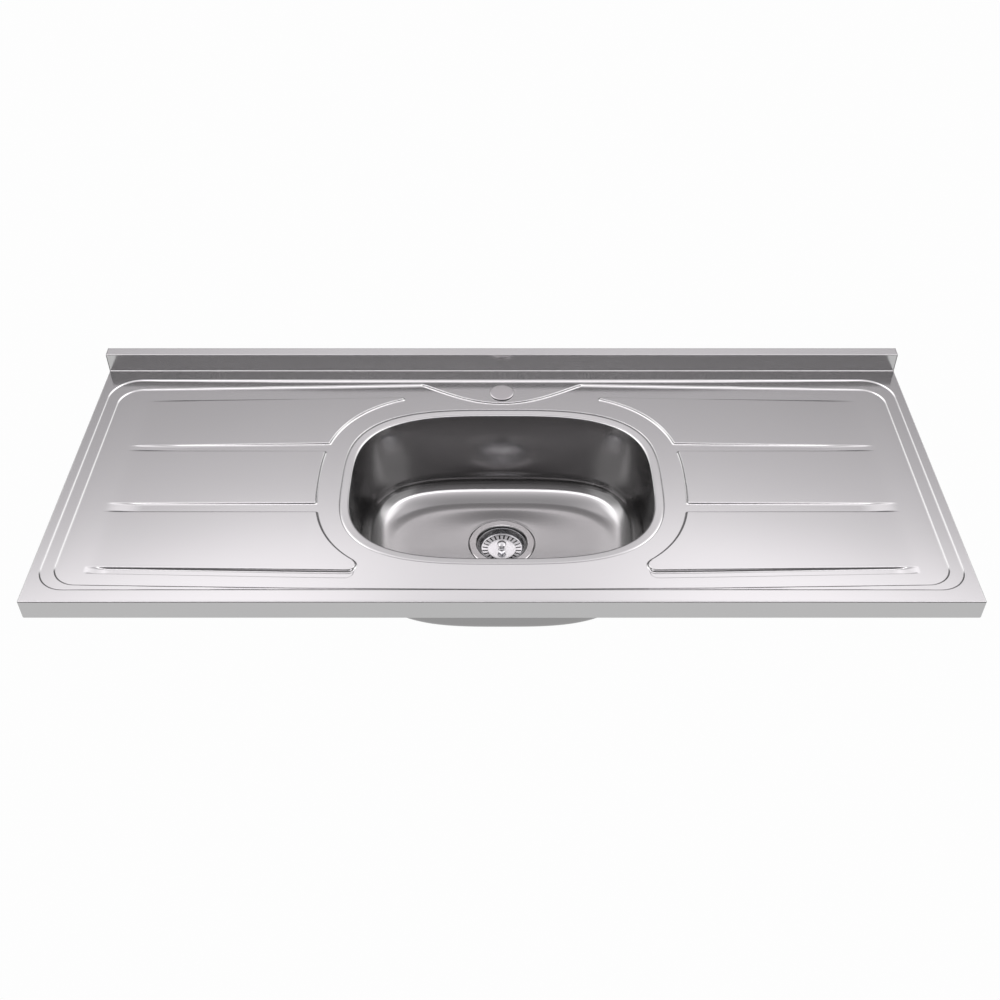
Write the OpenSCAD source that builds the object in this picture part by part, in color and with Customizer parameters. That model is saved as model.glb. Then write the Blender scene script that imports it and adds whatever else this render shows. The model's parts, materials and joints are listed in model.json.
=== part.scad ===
// Lay-on stainless steel kitchen sink top with one central bowl, two drainers,
// a rear upstand, a covered tap hole and a basket strainer waste.
// X runs left to right, Y from the front edge to the wall, Z up.
// The origin is the middle of the plane where the folded edge rests on the cabinet.
// Distances called "from the front" are measured from the front edge of the top.

/* [Sink top] */
// Length of the top, left to right
top_w = 1200; // [1100:10:1500]
// Depth of the top, front edge to wall
top_d = 500; // [500:5:600]
// Thickness of the steel sheet
sheet_t = 0.8; // [0.6:0.1:1]
// Height of the folded edge under the rim
edge_h = 30; // [28:1:45]
// Width of the hem turned in under the folded edge
hem_w = 20; // [12:1:24]
// Height of the upstand above the rim
upstand_h = 30; // [20:1:60]
// Thickness of the upstand, front to back
upstand_t = 17; // [12:1:25]

/* [Pressed well] */
// Flat rim beside the well, at each end
rim_side = 12.5; // [10:0.5:20]
// Flat rim in front of the well
rim_front = 20; // [16:0.5:30]
// Flat rim between the well and the upstand
rim_back = 23; // [18:0.5:40]
// Corner radius of the well at the front
well_r_front = 38; // [20:1:50]
// Corner radius of the well at the back
well_r_back = 44; // [20:1:60]
// Depth of the well at its outer ends
well_depth = 3; // [2:0.25:4]
// Further fall of the well floor towards the bowl
well_fall = 3; // [2:0.25:4]
// Width of the slope down to the well floor at the ends
slope_side = 19; // [12:1:24]
// Width of that slope along the front, at the corners
slope_front = 12.5; // [8:0.5:16]
// Width of that slope along the back, at the corners
slope_back = 24; // [16:1:28]
// Width of that slope in the middle of the front and back
slope_mid = 8; // [6:0.5:12]

/* [Drainer panels] */
// Front edge of the first raised panel, from the front
panel_y = 59; // [54:1:70]
// Depth of a raised panel
panel_d = 109; // [90:1:112]
// Spacing of the panels, front to back
panel_pitch = 127; // [124:0.5:130]
// Where the channels between the panels run out, from the end of the top
panel_run_out = 72; // [60:1:100]
// Space between the last panel and the slope at the back
panel_back_gap = 28; // [20:1:40]
// Width of the slanted side of a panel for each unit of its height
panel_draft = 1.1; // [0.8:0.1:1.6]
// How far the front edges of the first and last panels swing inwards at the outer ends
panel_swing = 6; // [0:1:8]
// Depth of the groove pressed along the front of the first panel
groove_drop = 1.5; // [0.5:0.25:2]
// Distance from the edge of that panel to the front of the groove
groove_w = 13; // [10:1:15]
// Corner radius of a panel beside the bowl
panel_r = 12; // [4:1:14]
// Corner radius at the pointed tip of the last panel
panel_tip_r = 2; // [1:0.5:3]
// Distance from the bowl opening to the panels, at the sides
surround_side = 33; // [28:1:50]
// Distance from the bowl opening to the curve of the panels, front and back
surround_end = 39; // [34:1:50]
// Squareness of the curve that the panels follow round the bowl
surround_n = 2.7; // [2.4:0.1:3.4]

/* [Bowl] */
// Width of the bowl at its lip
bowl_w = 416; // [360:2:430]
// Depth of the bowl at its lip, front to back
bowl_d = 296; // [270:2:300]
// Middle of the bowl, from the front
bowl_y = 233; // [228:1:240]
// Depth of the bowl below the rim
bowl_depth = 155; // [120:1:200]
// Squareness of the bowl outline
bowl_n = 3.17; // [2.6:0.01:4]
// Width of the flange that shows around the lip
ledge_w = 13; // [10:0.5:18]
// Fall of that flange towards the lip
ledge_fall = 1.2; // [0.5:0.1:2]
// Width of the flange lapped and welded under the top
lap_w = 7; // [5:0.5:10]
// Radius of the lip
lip_r = 3; // [2:0.5:5]
// How far the wall leans in before the bottom curve
bowl_draft = 4; // [0:0.5:8]
// Radius of the bottom curve at the front
bottom_r_front = 14; // [12:1:42]
// Radius of the bottom curve at the sides and back
bottom_r = 42; // [20:1:60]
// Fall of the bowl floor from its edges to the waste
bowl_fall = 2.5; // [0:0.5:4]
// Middle of the waste, behind the middle of the bowl
waste_back = 31; // [0:1:45]
// Thickness of the sound deadening pads
pad_t = 2; // [1:0.5:4]

/* [Tap ledge] */
// Half width of the ledge behind the bowl
ledge_half_w = 122; // [90:1:140]
// How far the ledge reaches forward from the back slope
ledge_reach = 50; // [44:1:54]
// Depth of the ledge below the rim
ledge_drop = 3; // [2:0.25:4]
// Middle of the tap hole, from the front
tap_y = 429; // [425:1:432]
// Diameter of the tap hole
tap_hole_d = 28; // [20:1:28]
// Diameter of its cover
cover_d = 35; // [34:1:38]
// Thickness of the cover
cover_t = 1.4; // [1:0.1:2]
// Diameter of the stud under the cover
stud_d = 6; // [5:1:8]
// Length of that stud below the cover
stud_l = 20; // [18:1:24]

/* [Under the top] */
// Middle of each stiffener, from the end of the top
stiffener_in = 190; // [170:5:210]
// Height of a stiffener
stiffener_h = 16; // [12:1:17]
// Width of a stiffener over its two flanges
stiffener_w = 60; // [50:1:80]
// Width of its hollow middle
stiffener_web = 28; // [20:1:34]
// Thickness of the galvanised steel
galv_t = 1.2; // [1:0.1:1.5]
// Distance of each fixing bracket from the middle, front to back
bracket_y = 170; // [120:5:190]
// Width of a fixing bracket
bracket_w = 30; // [20:1:40]
// How far a bracket hangs below the cabinet edge
bracket_drop = 28; // [20:1:40]
// Diameter of its screw hole
bracket_hole_d = 5; // [4:0.5:6]
// Diameter of the earth screw
earth_d = 4; // [3:1:5]

/* [Waste] */
// Diameter of the strainer flange
flange_d = 97; // [94:1:102]
// Diameter of the threaded skirt under the flange
skirt_d = 79; // [77:0.5:80]
// Thickness of the strainer metal
cup_t = 1.2; // [1:0.1:1.5]
// Bore of the cup under the basket rim
cup_bore_d = 66; // [64:0.5:67]
// Depth of the cup
cup_depth = 34; // [32:1:44]
// Bore of the narrow lower part of the cup
sump_d = 54; // [52:0.5:58]
// Diameter of the hole in the middle of the cup floor
guide_hole_d = 11; // [10:0.5:12]
// Outside diameter of the outlet thread
outlet_d = 47.8; // [44:0.1:50]
// Bore of the outlet
outlet_bore_d = 42; // [38:0.5:42]
// Length of the outlet below its collar
outlet_l = 26; // [18:1:40]
// Thickness of the soft ring under the bowl
gasket_t = 3; // [2:0.5:5]
// Height of the locknut
locknut_h = 8; // [6:0.5:9]

/* [Basket and stopper] */
// Diameter of the basket rim
basket_d = 71.4; // [70:0.1:71.8]
// Number of slots in the basket
slots = 24; // [12:1:28]
// Width of a slot
slot_w = 2.2; // [1.5:0.1:2.6]
// Diameter of the flat middle of the basket
basket_mid_d = 39; // [36:0.5:42]
// Depth of that middle below the flange
basket_depth = 13.5; // [11:0.5:16]
// Diameter of the knob
knob_d = 13; // [11:0.5:16]
// Diameter of the stem
stem_d = 5; // [4:0.5:6]
// Diameter of the rubber stopper
seal_d = 48; // [46:0.5:50]
// Lift of the knob from shut to open
knob_lift = 8; // [6:0.5:10]

/* [Hidden] */
$fn = 96;

steel = [0.74, 0.73, 0.74];
bright = [0.85, 0.86, 0.88];
galv = [0.62, 0.64, 0.66];
rubber_black = [0.10, 0.10, 0.11];
pad_grey = [0.28, 0.28, 0.29];
brass = [0.78, 0.64, 0.36];

// Gap left between faces that rest on each other
seat = 0.3;
// Reach of a cutter past the face that it cuts
over = 5;

// Heights in the part's own frame
rim_z = edge_h;
deck_z = rim_z - well_depth - well_fall;
deck_under_z = deck_z - sheet_t;
ledge_z = rim_z - ledge_drop;
bowl_floor_z = rim_z - bowl_depth;

// Plan positions
front_y = -top_d / 2;
back_y = top_d / 2;
upstand_y = back_y - upstand_t;
well_x = top_w / 2 - rim_side;
well_front_y = front_y + rim_front;
well_back_y = upstand_y - rim_back;
foot_x = well_x - slope_side;
bowl_cy = front_y + bowl_y;
waste_y = bowl_cy + waste_back;
tap_cy = front_y + tap_y;

// Bowl opening in the top, and the curve that the panels follow
open_a = bowl_w / 2 + ledge_w;
open_b = bowl_d / 2 + ledge_w;
surround_a = open_a + surround_side;
surround_b = open_b + surround_end;
deck_x = surround_a;

// Points round a superellipse of half axes a and b
function soft_power(v, e) = sign(v) * pow(abs(v), e);
function superellipse(a, b, n, cy, count) = [for (i = [0:count - 1])
    let (t = 360 * i / count)
    [a * soft_power(cos(t), 2 / n), cy + b * soft_power(sin(t), 2 / n)]];

// Points of an arc
function arc(cx, cy, r, from, to, steps) = [for (i = [0:steps])
    let (t = from + (to - from) * i / steps)
    [cx + r * cos(t), cy + r * sin(t)]];

// Corner b of a path a-b-c rounded to radius r, as a few points
function unit(v) = v / norm(v);
function rounded_corner(a, b, c, r, steps) =
    let (u = unit(a - b), v = unit(c - b))
    let (half = acos(max(-1, min(1, u * v))) / 2)
    let (reach = r / tan(half), centre = b + unit(u + v) * r / sin(half))
    let (p = b + u * reach, q = b + v * reach)
    let (s = atan2(p[1] - centre[1], p[0] - centre[0]))
    let (e = atan2(q[1] - centre[1], q[0] - centre[0]))
    let (turn = (e - s > 180) ? e - s - 360 : ((e - s < -180) ? e - s + 360 : e - s))
    [for (i = [0:steps]) centre + r * [cos(s + turn * i / steps), sin(s + turn * i / steps)]];

// A closed outline, counter-clockwise, moved outwards by d
function grown(path, d) = [for (i = [0:len(path) - 1])
    let (a = path[(i + len(path) - 1) % len(path)], b = path[i], c = path[(i + 1) % len(path)])
    let (u = unit(b - a), v = unit(c - b))
    let (nu = [u[1], -u[0]], nv = [v[1], -v[0]])
    b + (nu + nv) * d / (1 + nu * nv)];

// A solid through a stack of rings that all have the same number of points
module loft(rings) {
    count = len(rings[0]);
    last = len(rings) - 1;
    sides = [for (r = [0:last - 1]) for (i = [0:count - 1])
        let (j = (i + 1) % count)
        [r * count + i, r * count + j, (r + 1) * count + j, (r + 1) * count + i]];
    polyhedron(
        points = [for (ring = rings) for (point = ring) point],
        faces = concat(
            [[for (i = [0:count - 1]) i]],
            [for (side = sides) [side[3], side[2], side[1], side[0]]],
            [[for (i = [0:count - 1]) last * count + count - 1 - i]]));
}

function at_height(path, z) = [for (point = path) [point[0], point[1], z]];

// Well

// Height of the well floor at x: it falls from the ends to the bowl
function floor_z(x) = rim_z - well_depth
    - well_fall * max(0, min(1, (foot_x - abs(x)) / (foot_x - deck_x)));

corner_steps = 8;

// Outline of the well with corner radii rf and rb, and with the front and back
// edges bent at the middle by sag_f and sag_b
function well_outline(x, yf, yb, rf, rb, sag_f, sag_b) = concat(
    arc(-x + rf, yf + rf, rf, 180, 270, corner_steps),
    [[-deck_x, yf - sag_f * (1 - deck_x / x)], [0, yf - sag_f], [deck_x, yf - sag_f * (1 - deck_x / x)]],
    arc(x - rf, yf + rf, rf, 270, 360, corner_steps),
    arc(x - rb, yb - rb, rb, 0, 90, corner_steps),
    [[deck_x, yb + sag_b * (1 - deck_x / x)], [0, yb + sag_b], [-deck_x, yb + sag_b * (1 - deck_x / x)]],
    arc(-x + rb, yb - rb, rb, 90, 180, corner_steps));

// The space that the well takes out of a flat top
module well_space() {
    edge = well_outline(well_x, well_front_y, well_back_y, well_r_front, well_r_back, 0, 0);
    foot = well_outline(foot_x, well_front_y + slope_front, well_back_y - slope_back,
        well_r_front - slope_front / 2, well_r_back - slope_back / 2,
        slope_front - slope_mid, slope_back - slope_mid);
    count = len(edge);
    // Points on the bend lines of the floor, front and back, on the left and on the right
    fl = corner_steps + 1;
    fr = fl + 2;
    br = fr + 2 * (corner_steps + 1) + 1;
    bl = br + 2;
    sides = [for (r = [0:1]) for (i = [0:count - 1])
        let (j = (i + 1) % count, high = r * count, low = high + count)
        for (face = [[high + i, high + j, low + j], [high + i, low + j, low + i]]) face];
    polyhedron(
        points = concat(at_height(edge, rim_z + over), at_height(edge, rim_z),
            [for (point = foot) [point[0], point[1], floor_z(point[0])]]),
        faces = concat(
            [[for (i = [0:count - 1]) count - 1 - i]],
            sides,
            [concat([for (i = [0:fl]) 2 * count + i], [for (i = [bl:count - 1]) 2 * count + i]),
                [for (i = [fl, fl + 1, fr, br, br + 1, bl]) 2 * count + i],
                [for (i = [fr:br]) 2 * count + i]]));
}

// Drainer panels

surround_cy = bowl_cy + 2;
function surround_x(y) = -surround_a
    * pow(max(0, 1 - pow(abs(y - surround_cy) / surround_b, surround_n)), 1 / surround_n);

// The back edge of the last panel runs beside the back slope of the well
function back_edge_y(x) = well_back_y - slope_mid - panel_back_gap
    - (slope_back - slope_mid) * abs(x) / foot_x;
function tip_x(x, rounds) = rounds == 0 ? x : tip_x(surround_x(back_edge_y(x)), rounds - 1);

panel_out_x = -(top_w / 2 - panel_run_out);
// The panels run on below the floor past the place where their channels run out
panel_run_on = 20;
panel_end_x = panel_out_x - panel_run_on;
panel_height = 7;
curve_steps = 5;
round_steps = 5;

// Top of a panel: level with the floor where the channels run out, higher at the bowl
function panel_z(x) = floor_z(panel_out_x)
    + (rim_z - well_depth - floor_z(panel_out_x)) * (x - panel_out_x) / (-deck_x - panel_out_x);

function panel_front(i) = front_y + panel_y + i * panel_pitch;

// Left front panel: its corner by the bowl is rounded to panel_r, and the curve
// starts corner_skip radii behind that corner
corner_skip = 1.55;
function front_panel_outline() =
    let (y0 = panel_front(0), y1 = y0 + panel_d, skip = corner_skip * panel_r)
    let (corner = [surround_x(y0), y0])
    let (curve = [for (i = [0:curve_steps])
        let (y = y0 + skip + (y1 - y0 - skip) * i / curve_steps) [surround_x(y), y]])
    let (outer = [panel_end_x, y0 + panel_swing])
    concat([outer],
        rounded_corner(outer, corner, curve[0], panel_r, round_steps),
        [for (i = [1:curve_steps - 1]) curve[i]],
        rounded_corner(curve[curve_steps - 1], curve[curve_steps], [panel_end_x, y1], panel_tip_r, 2),
        [[panel_end_x, y1]]);

// Left middle panel
function middle_panel_outline() =
    let (y0 = panel_front(1), y1 = y0 + panel_d)
    let (curve = [for (i = [0:curve_steps])
        let (y = y0 + (y1 - y0) * i / curve_steps) [surround_x(y), y]])
    concat([[panel_end_x, y0]],
        rounded_corner([panel_end_x, y0], curve[0], curve[1], panel_tip_r, 2),
        [for (i = [1:curve_steps - 1]) curve[i]],
        rounded_corner(curve[curve_steps - 1], curve[curve_steps], [panel_end_x, y1], panel_tip_r, 2),
        [[panel_end_x, y1]]);

// Left back panel: it runs out in a long tip between the bowl and the back slope
tip_rounds = 6;
tip_back = 10;
curve_bias = 1.6;
function back_panel_outline() =
    let (y0 = panel_front(2), tx = tip_x(-surround_a / 2, tip_rounds), tip = [tx, back_edge_y(tx)])
    let (x0 = surround_x(y0), span = tx - tip_back * panel_tip_r - x0)
    let (curve = [for (i = [0:curve_steps])
        let (x = x0 + span * pow(i / curve_steps, curve_bias))
        [x, surround_cy + surround_b
            * pow(1 - pow(abs(x) / surround_a, surround_n), 1 / surround_n)]])
    let (outer = [panel_end_x, y0 - panel_swing], far = [panel_end_x, back_edge_y(panel_end_x)])
    concat([outer],
        rounded_corner(outer, [x0, y0], curve[1], panel_tip_r, 2),
        [for (i = [1:curve_steps]) curve[i]],
        rounded_corner(curve[curve_steps], tip, far, panel_tip_r, round_steps),
        [far]);

// A raised panel with slanted sides
module panel(outline) {
    foot = grown(outline, panel_height * panel_draft);
    loft([[for (p = foot) [p[0], p[1], panel_z(p[0]) - panel_height]],
        [for (p = outline) [p[0], p[1], panel_z(p[0])]]]);
}

// Groove in the well floor along the front of the first panel
groove_in_x = -190;
groove_r = 8;
groove_under_panel = 3;
groove_draft = 1.6;
groove_rise = 3;
module left_groove() {
    y0 = panel_front(0);
    out_x = panel_out_x - 5;
    front_y0 = y0 - groove_w;
    back_y0 = y0 + groove_under_panel;
    first = [out_x, front_y0 + panel_swing];
    corner = [groove_in_x, front_y0];
    outline = concat([first],
        rounded_corner(first, corner, [groove_in_x, back_y0], groove_r, round_steps),
        [[groove_in_x, back_y0], [out_x, back_y0 + panel_swing]]);
    out_z = floor_z(out_x) - groove_drop;
    turn = (deck_z - groove_drop - out_z) / (groove_in_x - out_x);
    mouth = grown(outline, groove_rise * groove_draft);
    loft([[for (p = outline) [p[0], p[1], out_z + turn * (p[0] - out_x)]],
        [for (p = mouth) [p[0], p[1], out_z + groove_rise + turn * (p[0] - out_x)]]]);
}

module left_panels() {
    panel(front_panel_outline());
    panel(middle_panel_outline());
    panel(back_panel_outline());
}

// Tap ledge

ledge_steps = 20;
ledge_flatness = 0.62;
ledge_slope = 1.5;
ledge_inset = 2;
function ledge_front_y(x) = well_back_y - ledge_inset - ledge_reach
    * pow((1 + cos(180 * x / ledge_half_w)) / 2, ledge_flatness);

module ledge() {
    shore = [for (i = [0:ledge_steps])
        let (x = ledge_half_w * (2 * i / ledge_steps - 1)) [x, ledge_front_y(x)]];
    outline = concat(shore, [[ledge_half_w, well_back_y + over], [-ledge_half_w, well_back_y + over]]);
    foot = grown(outline, panel_height * ledge_slope);
    loft([at_height(foot, ledge_z - panel_height), at_height(outline, ledge_z)]);
}

// Solid ground under the pressed surface
ground_d = 24;
ground_z = rim_z - ground_d;
module ground() {
    difference() {
        translate([-top_w / 2, front_y, ground_z])
            cube([top_w, upstand_y - front_y, rim_z - ground_z]);
        well_space();
        left_groove();
        mirror([1, 0, 0]) left_groove();
    }
    left_panels();
    mirror([1, 0, 0]) left_panels();
    ledge();
}

// A flat strip of sheet between two corners
module plate(low, high) {
    translate(low) cube(high - low);
}

bowl_points = 60;

module sink_top() {
    half = top_w / 2;
    color(steel) difference() {
        union() {
            difference() {
                ground();
                translate([0, 0, -sheet_t]) ground();
                plate([-half - over, front_y - over, ground_z - over],
                    [half + over, back_y, ground_z + sheet_t]);
            }
            // Folded edges
            plate([-half, front_y, 0], [half, front_y + sheet_t, rim_z]);
            plate([-half, back_y - sheet_t, 0], [half, back_y, rim_z + upstand_h]);
            for (x = [-half, half - sheet_t]) {
                plate([x, front_y, 0], [x + sheet_t, back_y, rim_z]);
                plate([x, upstand_y, 0], [x + sheet_t, back_y, rim_z + upstand_h]);
            }
            // Upstand
            plate([-half, upstand_y, rim_z - sheet_t], [half, upstand_y + sheet_t, rim_z + upstand_h]);
            plate([-half, upstand_y, rim_z + upstand_h - sheet_t], [half, back_y, rim_z + upstand_h]);
            // Hem that rests on the cabinet
            difference() {
                plate([-half, front_y, 0], [half, back_y, sheet_t]);
                plate([-half + hem_w, front_y + hem_w, -over], [half - hem_w, back_y - hem_w, over]);
            }
        }
        // Opening for the bowl
        translate([0, 0, ground_z - over]) linear_extrude(rim_z)
            polygon(superellipse(open_a, open_b, bowl_n, bowl_cy, bowl_points));
        // Tap hole
        translate([0, tap_cy, ground_z]) cylinder(h = rim_z, d = tap_hole_d);
    }
}

// Bowl

// Depth of the bowl where the bottom curve meets the floor
edge_depth = bowl_depth - bowl_fall;

// How far the wall has come in at depth z below the rim, on a side with
// bottom radius r; o is the offset outwards from the inside face
function wall_in(z, r, o) =
    let (start = edge_depth - r, dz = z - start)
    -o + bowl_draft * max(0, min(1, z / start))
    + (dz <= 0 ? 0 : (r + o) - sqrt(max(0, pow(r + o, 2) - pow(dz, 2))));

// A ring round the bowl at depth z: the front has its own bottom radius
function bowl_ring(z, o) =
    let (side = wall_in(z, bottom_r, o), front = wall_in(z, bottom_r_front, o))
    let (b = (bowl_d - side - front) / 2)
    at_height(superellipse(bowl_w / 2 - side, b, bowl_n, bowl_cy + (front - side) / 2, bowl_points),
        rim_z - z);
// A ring round the waste, with its points towards those of another ring
function waste_ring(other, r, z) = [for (p = other)
    let (ray = unit([p[0], p[1] - waste_y]))
    [r * ray[0], waste_y + r * ray[1], rim_z - z]];
function flange_ring(out, z) =
    at_height(superellipse(bowl_w / 2 + out, bowl_d / 2 + out, bowl_n, bowl_cy, bowl_points), rim_z - z);

lap_depth = rim_z - deck_under_z;
lip_depth = lap_depth + ledge_fall;
bottom_steps = 7;
lip_steps = 3;

// Seat pressed round the waste hole, with a slanted wall up to the floor
seat_depth = 1.8;
seat_r = flange_d / 2 + 1;
seat_wall_w = 1;
seat_edge_r = seat_r + 3;
seat_weld = 1;
waste_hole_r = skirt_d / 2 + 0.5;

// Rings of one face of the bowl, from the edge of the flange to the bottom
function bowl_face(o) = concat(
    [flange_ring(ledge_w + lap_w, lap_depth + o), flange_ring(ledge_w - 1, lap_depth + o)],
    [for (i = [0:lip_steps - 1]) let (t = 90 * i / lip_steps)
        flange_ring(o + (lip_r + o - 2 * o) * (1 - sin(t)), lip_depth + o + lip_r * (1 - cos(t)))],
    [for (i = [0:bottom_steps]) let (t = 90 * i / bottom_steps, r = bottom_r + o)
        bowl_ring(edge_depth - bottom_r + r * sin(t), o)],
    [waste_ring(bowl_ring(edge_depth, 0), seat_edge_r + seat_weld, bowl_depth + o)]);

module bowl() {
    inside = bowl_face(0);
    outside = bowl_face(sheet_t);
    last = len(inside) - 1;
    color(steel) {
        difference() {
            loft(concat([for (i = [last:-1:0]) outside[i]], inside));
            translate([0, waste_y, bowl_floor_z - over])
                cylinder(h = 2 * over, r = seat_edge_r - seat_weld);
        }
        translate([0, waste_y, bowl_floor_z]) rotate_extrude() polygon([
            [waste_hole_r, -seat_depth], [seat_r, -seat_depth], [seat_r + seat_wall_w, 0],
            [seat_edge_r, 0], [seat_edge_r, -sheet_t], [seat_r + 1.5 * seat_wall_w, -sheet_t],
            [seat_r + seat_wall_w / 2, -seat_depth - sheet_t],
            [waste_hole_r, -seat_depth - sheet_t]]);
    }
}

pad_margin = 12;
pad_clear = 8;

// The space at a distance below the bowl floor
module under_floor(gap) {
    edge = bowl_ring(edge_depth, 0);
    level = [for (p = edge) [p[0], p[1], bowl_floor_z - 2 * over]];
    loft([level, [for (p = edge) [p[0], p[1], rim_z - edge_depth - gap]],
        waste_ring(edge, seat_edge_r + seat_weld, bowl_depth + gap)]);
}

// Pad with an opening round the waste that runs out at the back
module bowl_sound_pad() {
    opening_r = seat_r + pad_clear;
    a = bowl_w / 2 - bowl_draft - bottom_r - pad_margin;
    b = (bowl_d - 2 * bowl_draft - bottom_r - bottom_r_front) / 2 - pad_margin;
    cy = bowl_cy + (bottom_r_front - bottom_r) / 2;
    color(pad_grey) intersection() {
        translate([0, 0, bowl_floor_z - 1.5 * over]) linear_extrude(3 * over) difference() {
            polygon(superellipse(a, b, bowl_n, cy, bowl_points));
            translate([0, waste_y]) circle(r = opening_r);
            translate([-opening_r, waste_y]) square([2 * opening_r, bowl_d]);
        }
        difference() {
            under_floor(sheet_t + seat);
            translate([0, 0, -pad_t]) under_floor(sheet_t + seat);
        }
    }
}

// Pads and stiffeners under the drainers

drainer_pad_w = 70;
drainer_pad_d = 300;

module drainer_pad() {
    right = -surround_a - seat;
    color(pad_grey) plate([right - drainer_pad_w, -drainer_pad_d / 2, deck_under_z - seat - pad_t],
        [right, drainer_pad_d / 2, deck_under_z - seat]);
}
module left_drainer_pad() { drainer_pad(); }
module right_drainer_pad() { mirror([1, 0, 0]) drainer_pad(); }

stiffener_x = top_w / 2 - stiffener_in;

// A stiffener starts behind the groove of the first panel
stiffener_front_y = panel_front(0) + panel_swing + 2 * over;

// Lowest height of the sheet over a stiffener
stiffener_top_z = floor_z(stiffener_x - stiffener_w / 2) - sheet_t - seat;

// Top-hat rail glued under the drainer, open side up
module stiffener() {
    w = stiffener_w / 2;
    m = stiffener_web / 2;
    h = stiffener_h;
    t = galv_t;
    color(galv) translate([-stiffener_x, well_back_y - over, stiffener_top_z]) rotate([90, 0, 0])
        linear_extrude(well_back_y - over - stiffener_front_y) polygon([
            [-w, 0], [-m, 0], [-m, -h + t], [m, -h + t], [m, 0], [w, 0],
            [w, -t], [m + t, -t], [m + t, -h], [-m - t, -h], [-m - t, -t], [-w, -t]]);
}
module left_stiffener() { stiffener(); }
module right_stiffener() { mirror([1, 0, 0]) stiffener(); }

// Angle brackets welded on the hem, for screws into the sides of the cabinet
bracket_gap = 1.5;
bracket_end_gap = 2;
bracket_leg_x = top_w / 2 - hem_w - bracket_gap - galv_t;
bracket_hole_up = 12;
bracket_hole_z = -bracket_drop + bracket_hole_up;
module bracket() {
    w = bracket_w / 2;
    difference() {
        union() {
            plate([bracket_leg_x, -w, sheet_t + seat],
                [top_w / 2 - sheet_t - bracket_end_gap, w, sheet_t + seat + galv_t]);
            plate([bracket_leg_x, -w, -bracket_drop], [bracket_leg_x + galv_t, w, sheet_t + seat + galv_t]);
        }
        translate([bracket_leg_x - over, 0, bracket_hole_z]) rotate([0, 90, 0])
            cylinder(h = 2 * over, d = bracket_hole_d);
    }
}
module fixing_brackets() {
    color(galv) for (side = [0, 1]) mirror([side, 0, 0])
        for (y = [-bracket_y, bracket_y]) translate([0, y, 0]) bracket();
}

// Earth terminal welded on the hem behind the bowl
earth_tag_l = 38;
earth_tag_w = 12;
earth_tag_t = 1;
earth_nut_h = 3.2;
earth_screw_l = 9;
earth_head_h = 2.4;
earth_tag_gap = 5;
earth_hole_in = 8;
earth_tag_y = back_y - sheet_t - earth_tag_gap - earth_tag_l;
earth_y = earth_tag_y + earth_hole_in;
earth_z = sheet_t + seat;
module earth_tag() {
    w = earth_tag_w / 2;
    color(galv) difference() {
        plate([-w, earth_tag_y, earth_z], [w, earth_tag_y + earth_tag_l, earth_z + earth_tag_t]);
        translate([0, earth_y, earth_z - over]) cylinder(h = 2 * over, d = earth_d + 0.4);
    }
}
module earth_screw() {
    color(bright) translate([0, earth_y, earth_z + earth_tag_t]) {
        cylinder(h = earth_head_h, d = 2 * earth_d);
        translate([0, 0, -earth_screw_l]) cylinder(h = earth_screw_l, d = earth_d);
    }
}
module earth_nut() {
    color(brass) translate([0, earth_y, earth_z - earth_nut_h]) difference() {
        cylinder(h = earth_nut_h, d = 2 * earth_d, $fn = 6);
        translate([0, 0, -over]) cylinder(h = earth_nut_h + 2 * over, d = earth_d + 0.1);
    }
}

// Tap hole cover

cover_gasket_t = 1;
cover_gasket_in = 0.6;
cover_z = ledge_z + cover_gasket_t;
washer_t = 1.5;
washer_lap = 4;
washer_play = 0.2;
module tap_hole_cover() {
    bevel = 0.5;
    color(bright) translate([0, tap_cy, cover_z]) {
        cylinder(h = cover_t - bevel, d = cover_d);
        translate([0, 0, cover_t - bevel]) cylinder(h = bevel, d1 = cover_d, d2 = cover_d - 4 * bevel);
        translate([0, 0, -stud_l]) cylinder(h = stud_l + bevel, d = stud_d);
    }
}
module ring(z, h, outer_r, inner_r) {
    translate([0, 0, z]) difference() {
        cylinder(h = h, r = outer_r);
        translate([0, 0, -over]) cylinder(h = h + 2 * over, r = inner_r);
    }
}
module tap_cover_gasket() {
    color(rubber_black) translate([0, tap_cy, 0])
        ring(ledge_z, cover_gasket_t, cover_d / 2 - cover_gasket_in, tap_hole_d / 2 - 2);
}
module tap_cover_washer() {
    color(galv) translate([0, tap_cy, 0])
        ring(ledge_z - sheet_t - washer_t, washer_t, tap_hole_d / 2 + washer_lap,
            stud_d / 2 + washer_play);
}
module tap_cover_wing_nut() {
    nut_h = 6;
    wing = 11;
    wing_t = 2;
    color(bright) translate([0, tap_cy, ledge_z - sheet_t - washer_t - nut_h]) difference() {
        union() {
            cylinder(h = nut_h, d = 2 * stud_d);
            for (side = [0, 180]) rotate([90, 0, side])
                translate([0, 0, -wing_t / 2]) linear_extrude(wing_t)
                polygon([[stud_d / 2 + 1, 0.5], [wing, -5], [wing + 2, -2], [stud_d / 2 + 2, nut_h - 1]]);
        }
        translate([0, 0, -over]) cylinder(h = nut_h + 2 * over, d = stud_d + 0.1);
    }
}

// Waste

// Top of the flange, and the stack that clamps the bowl
flange_proud = 0.4;
flange_z = bowl_floor_z + flange_proud;
flange_seal_t = flange_proud + seat_depth - cup_t;
under_bowl_z = bowl_floor_z - seat_depth - sheet_t;
friction_t = 0.8;
shoulder = 4;
shoulder_r = basket_d / 2 + 0.9;
throat_w = 0.6;
throat_rise = 2.6;
throat_flare = 2;
flange_bevel = 1.2;
flange_edge = 0.7;
skirt_l = 17;
// Heights above the cup floor where it starts to narrow and where it has narrowed
neck_low = 8;
neck_high = 12;
skirt_in_r = skirt_d / 2 - cup_t;
cup_r = cup_bore_d / 2;
sump_r = sump_d / 2;

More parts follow.
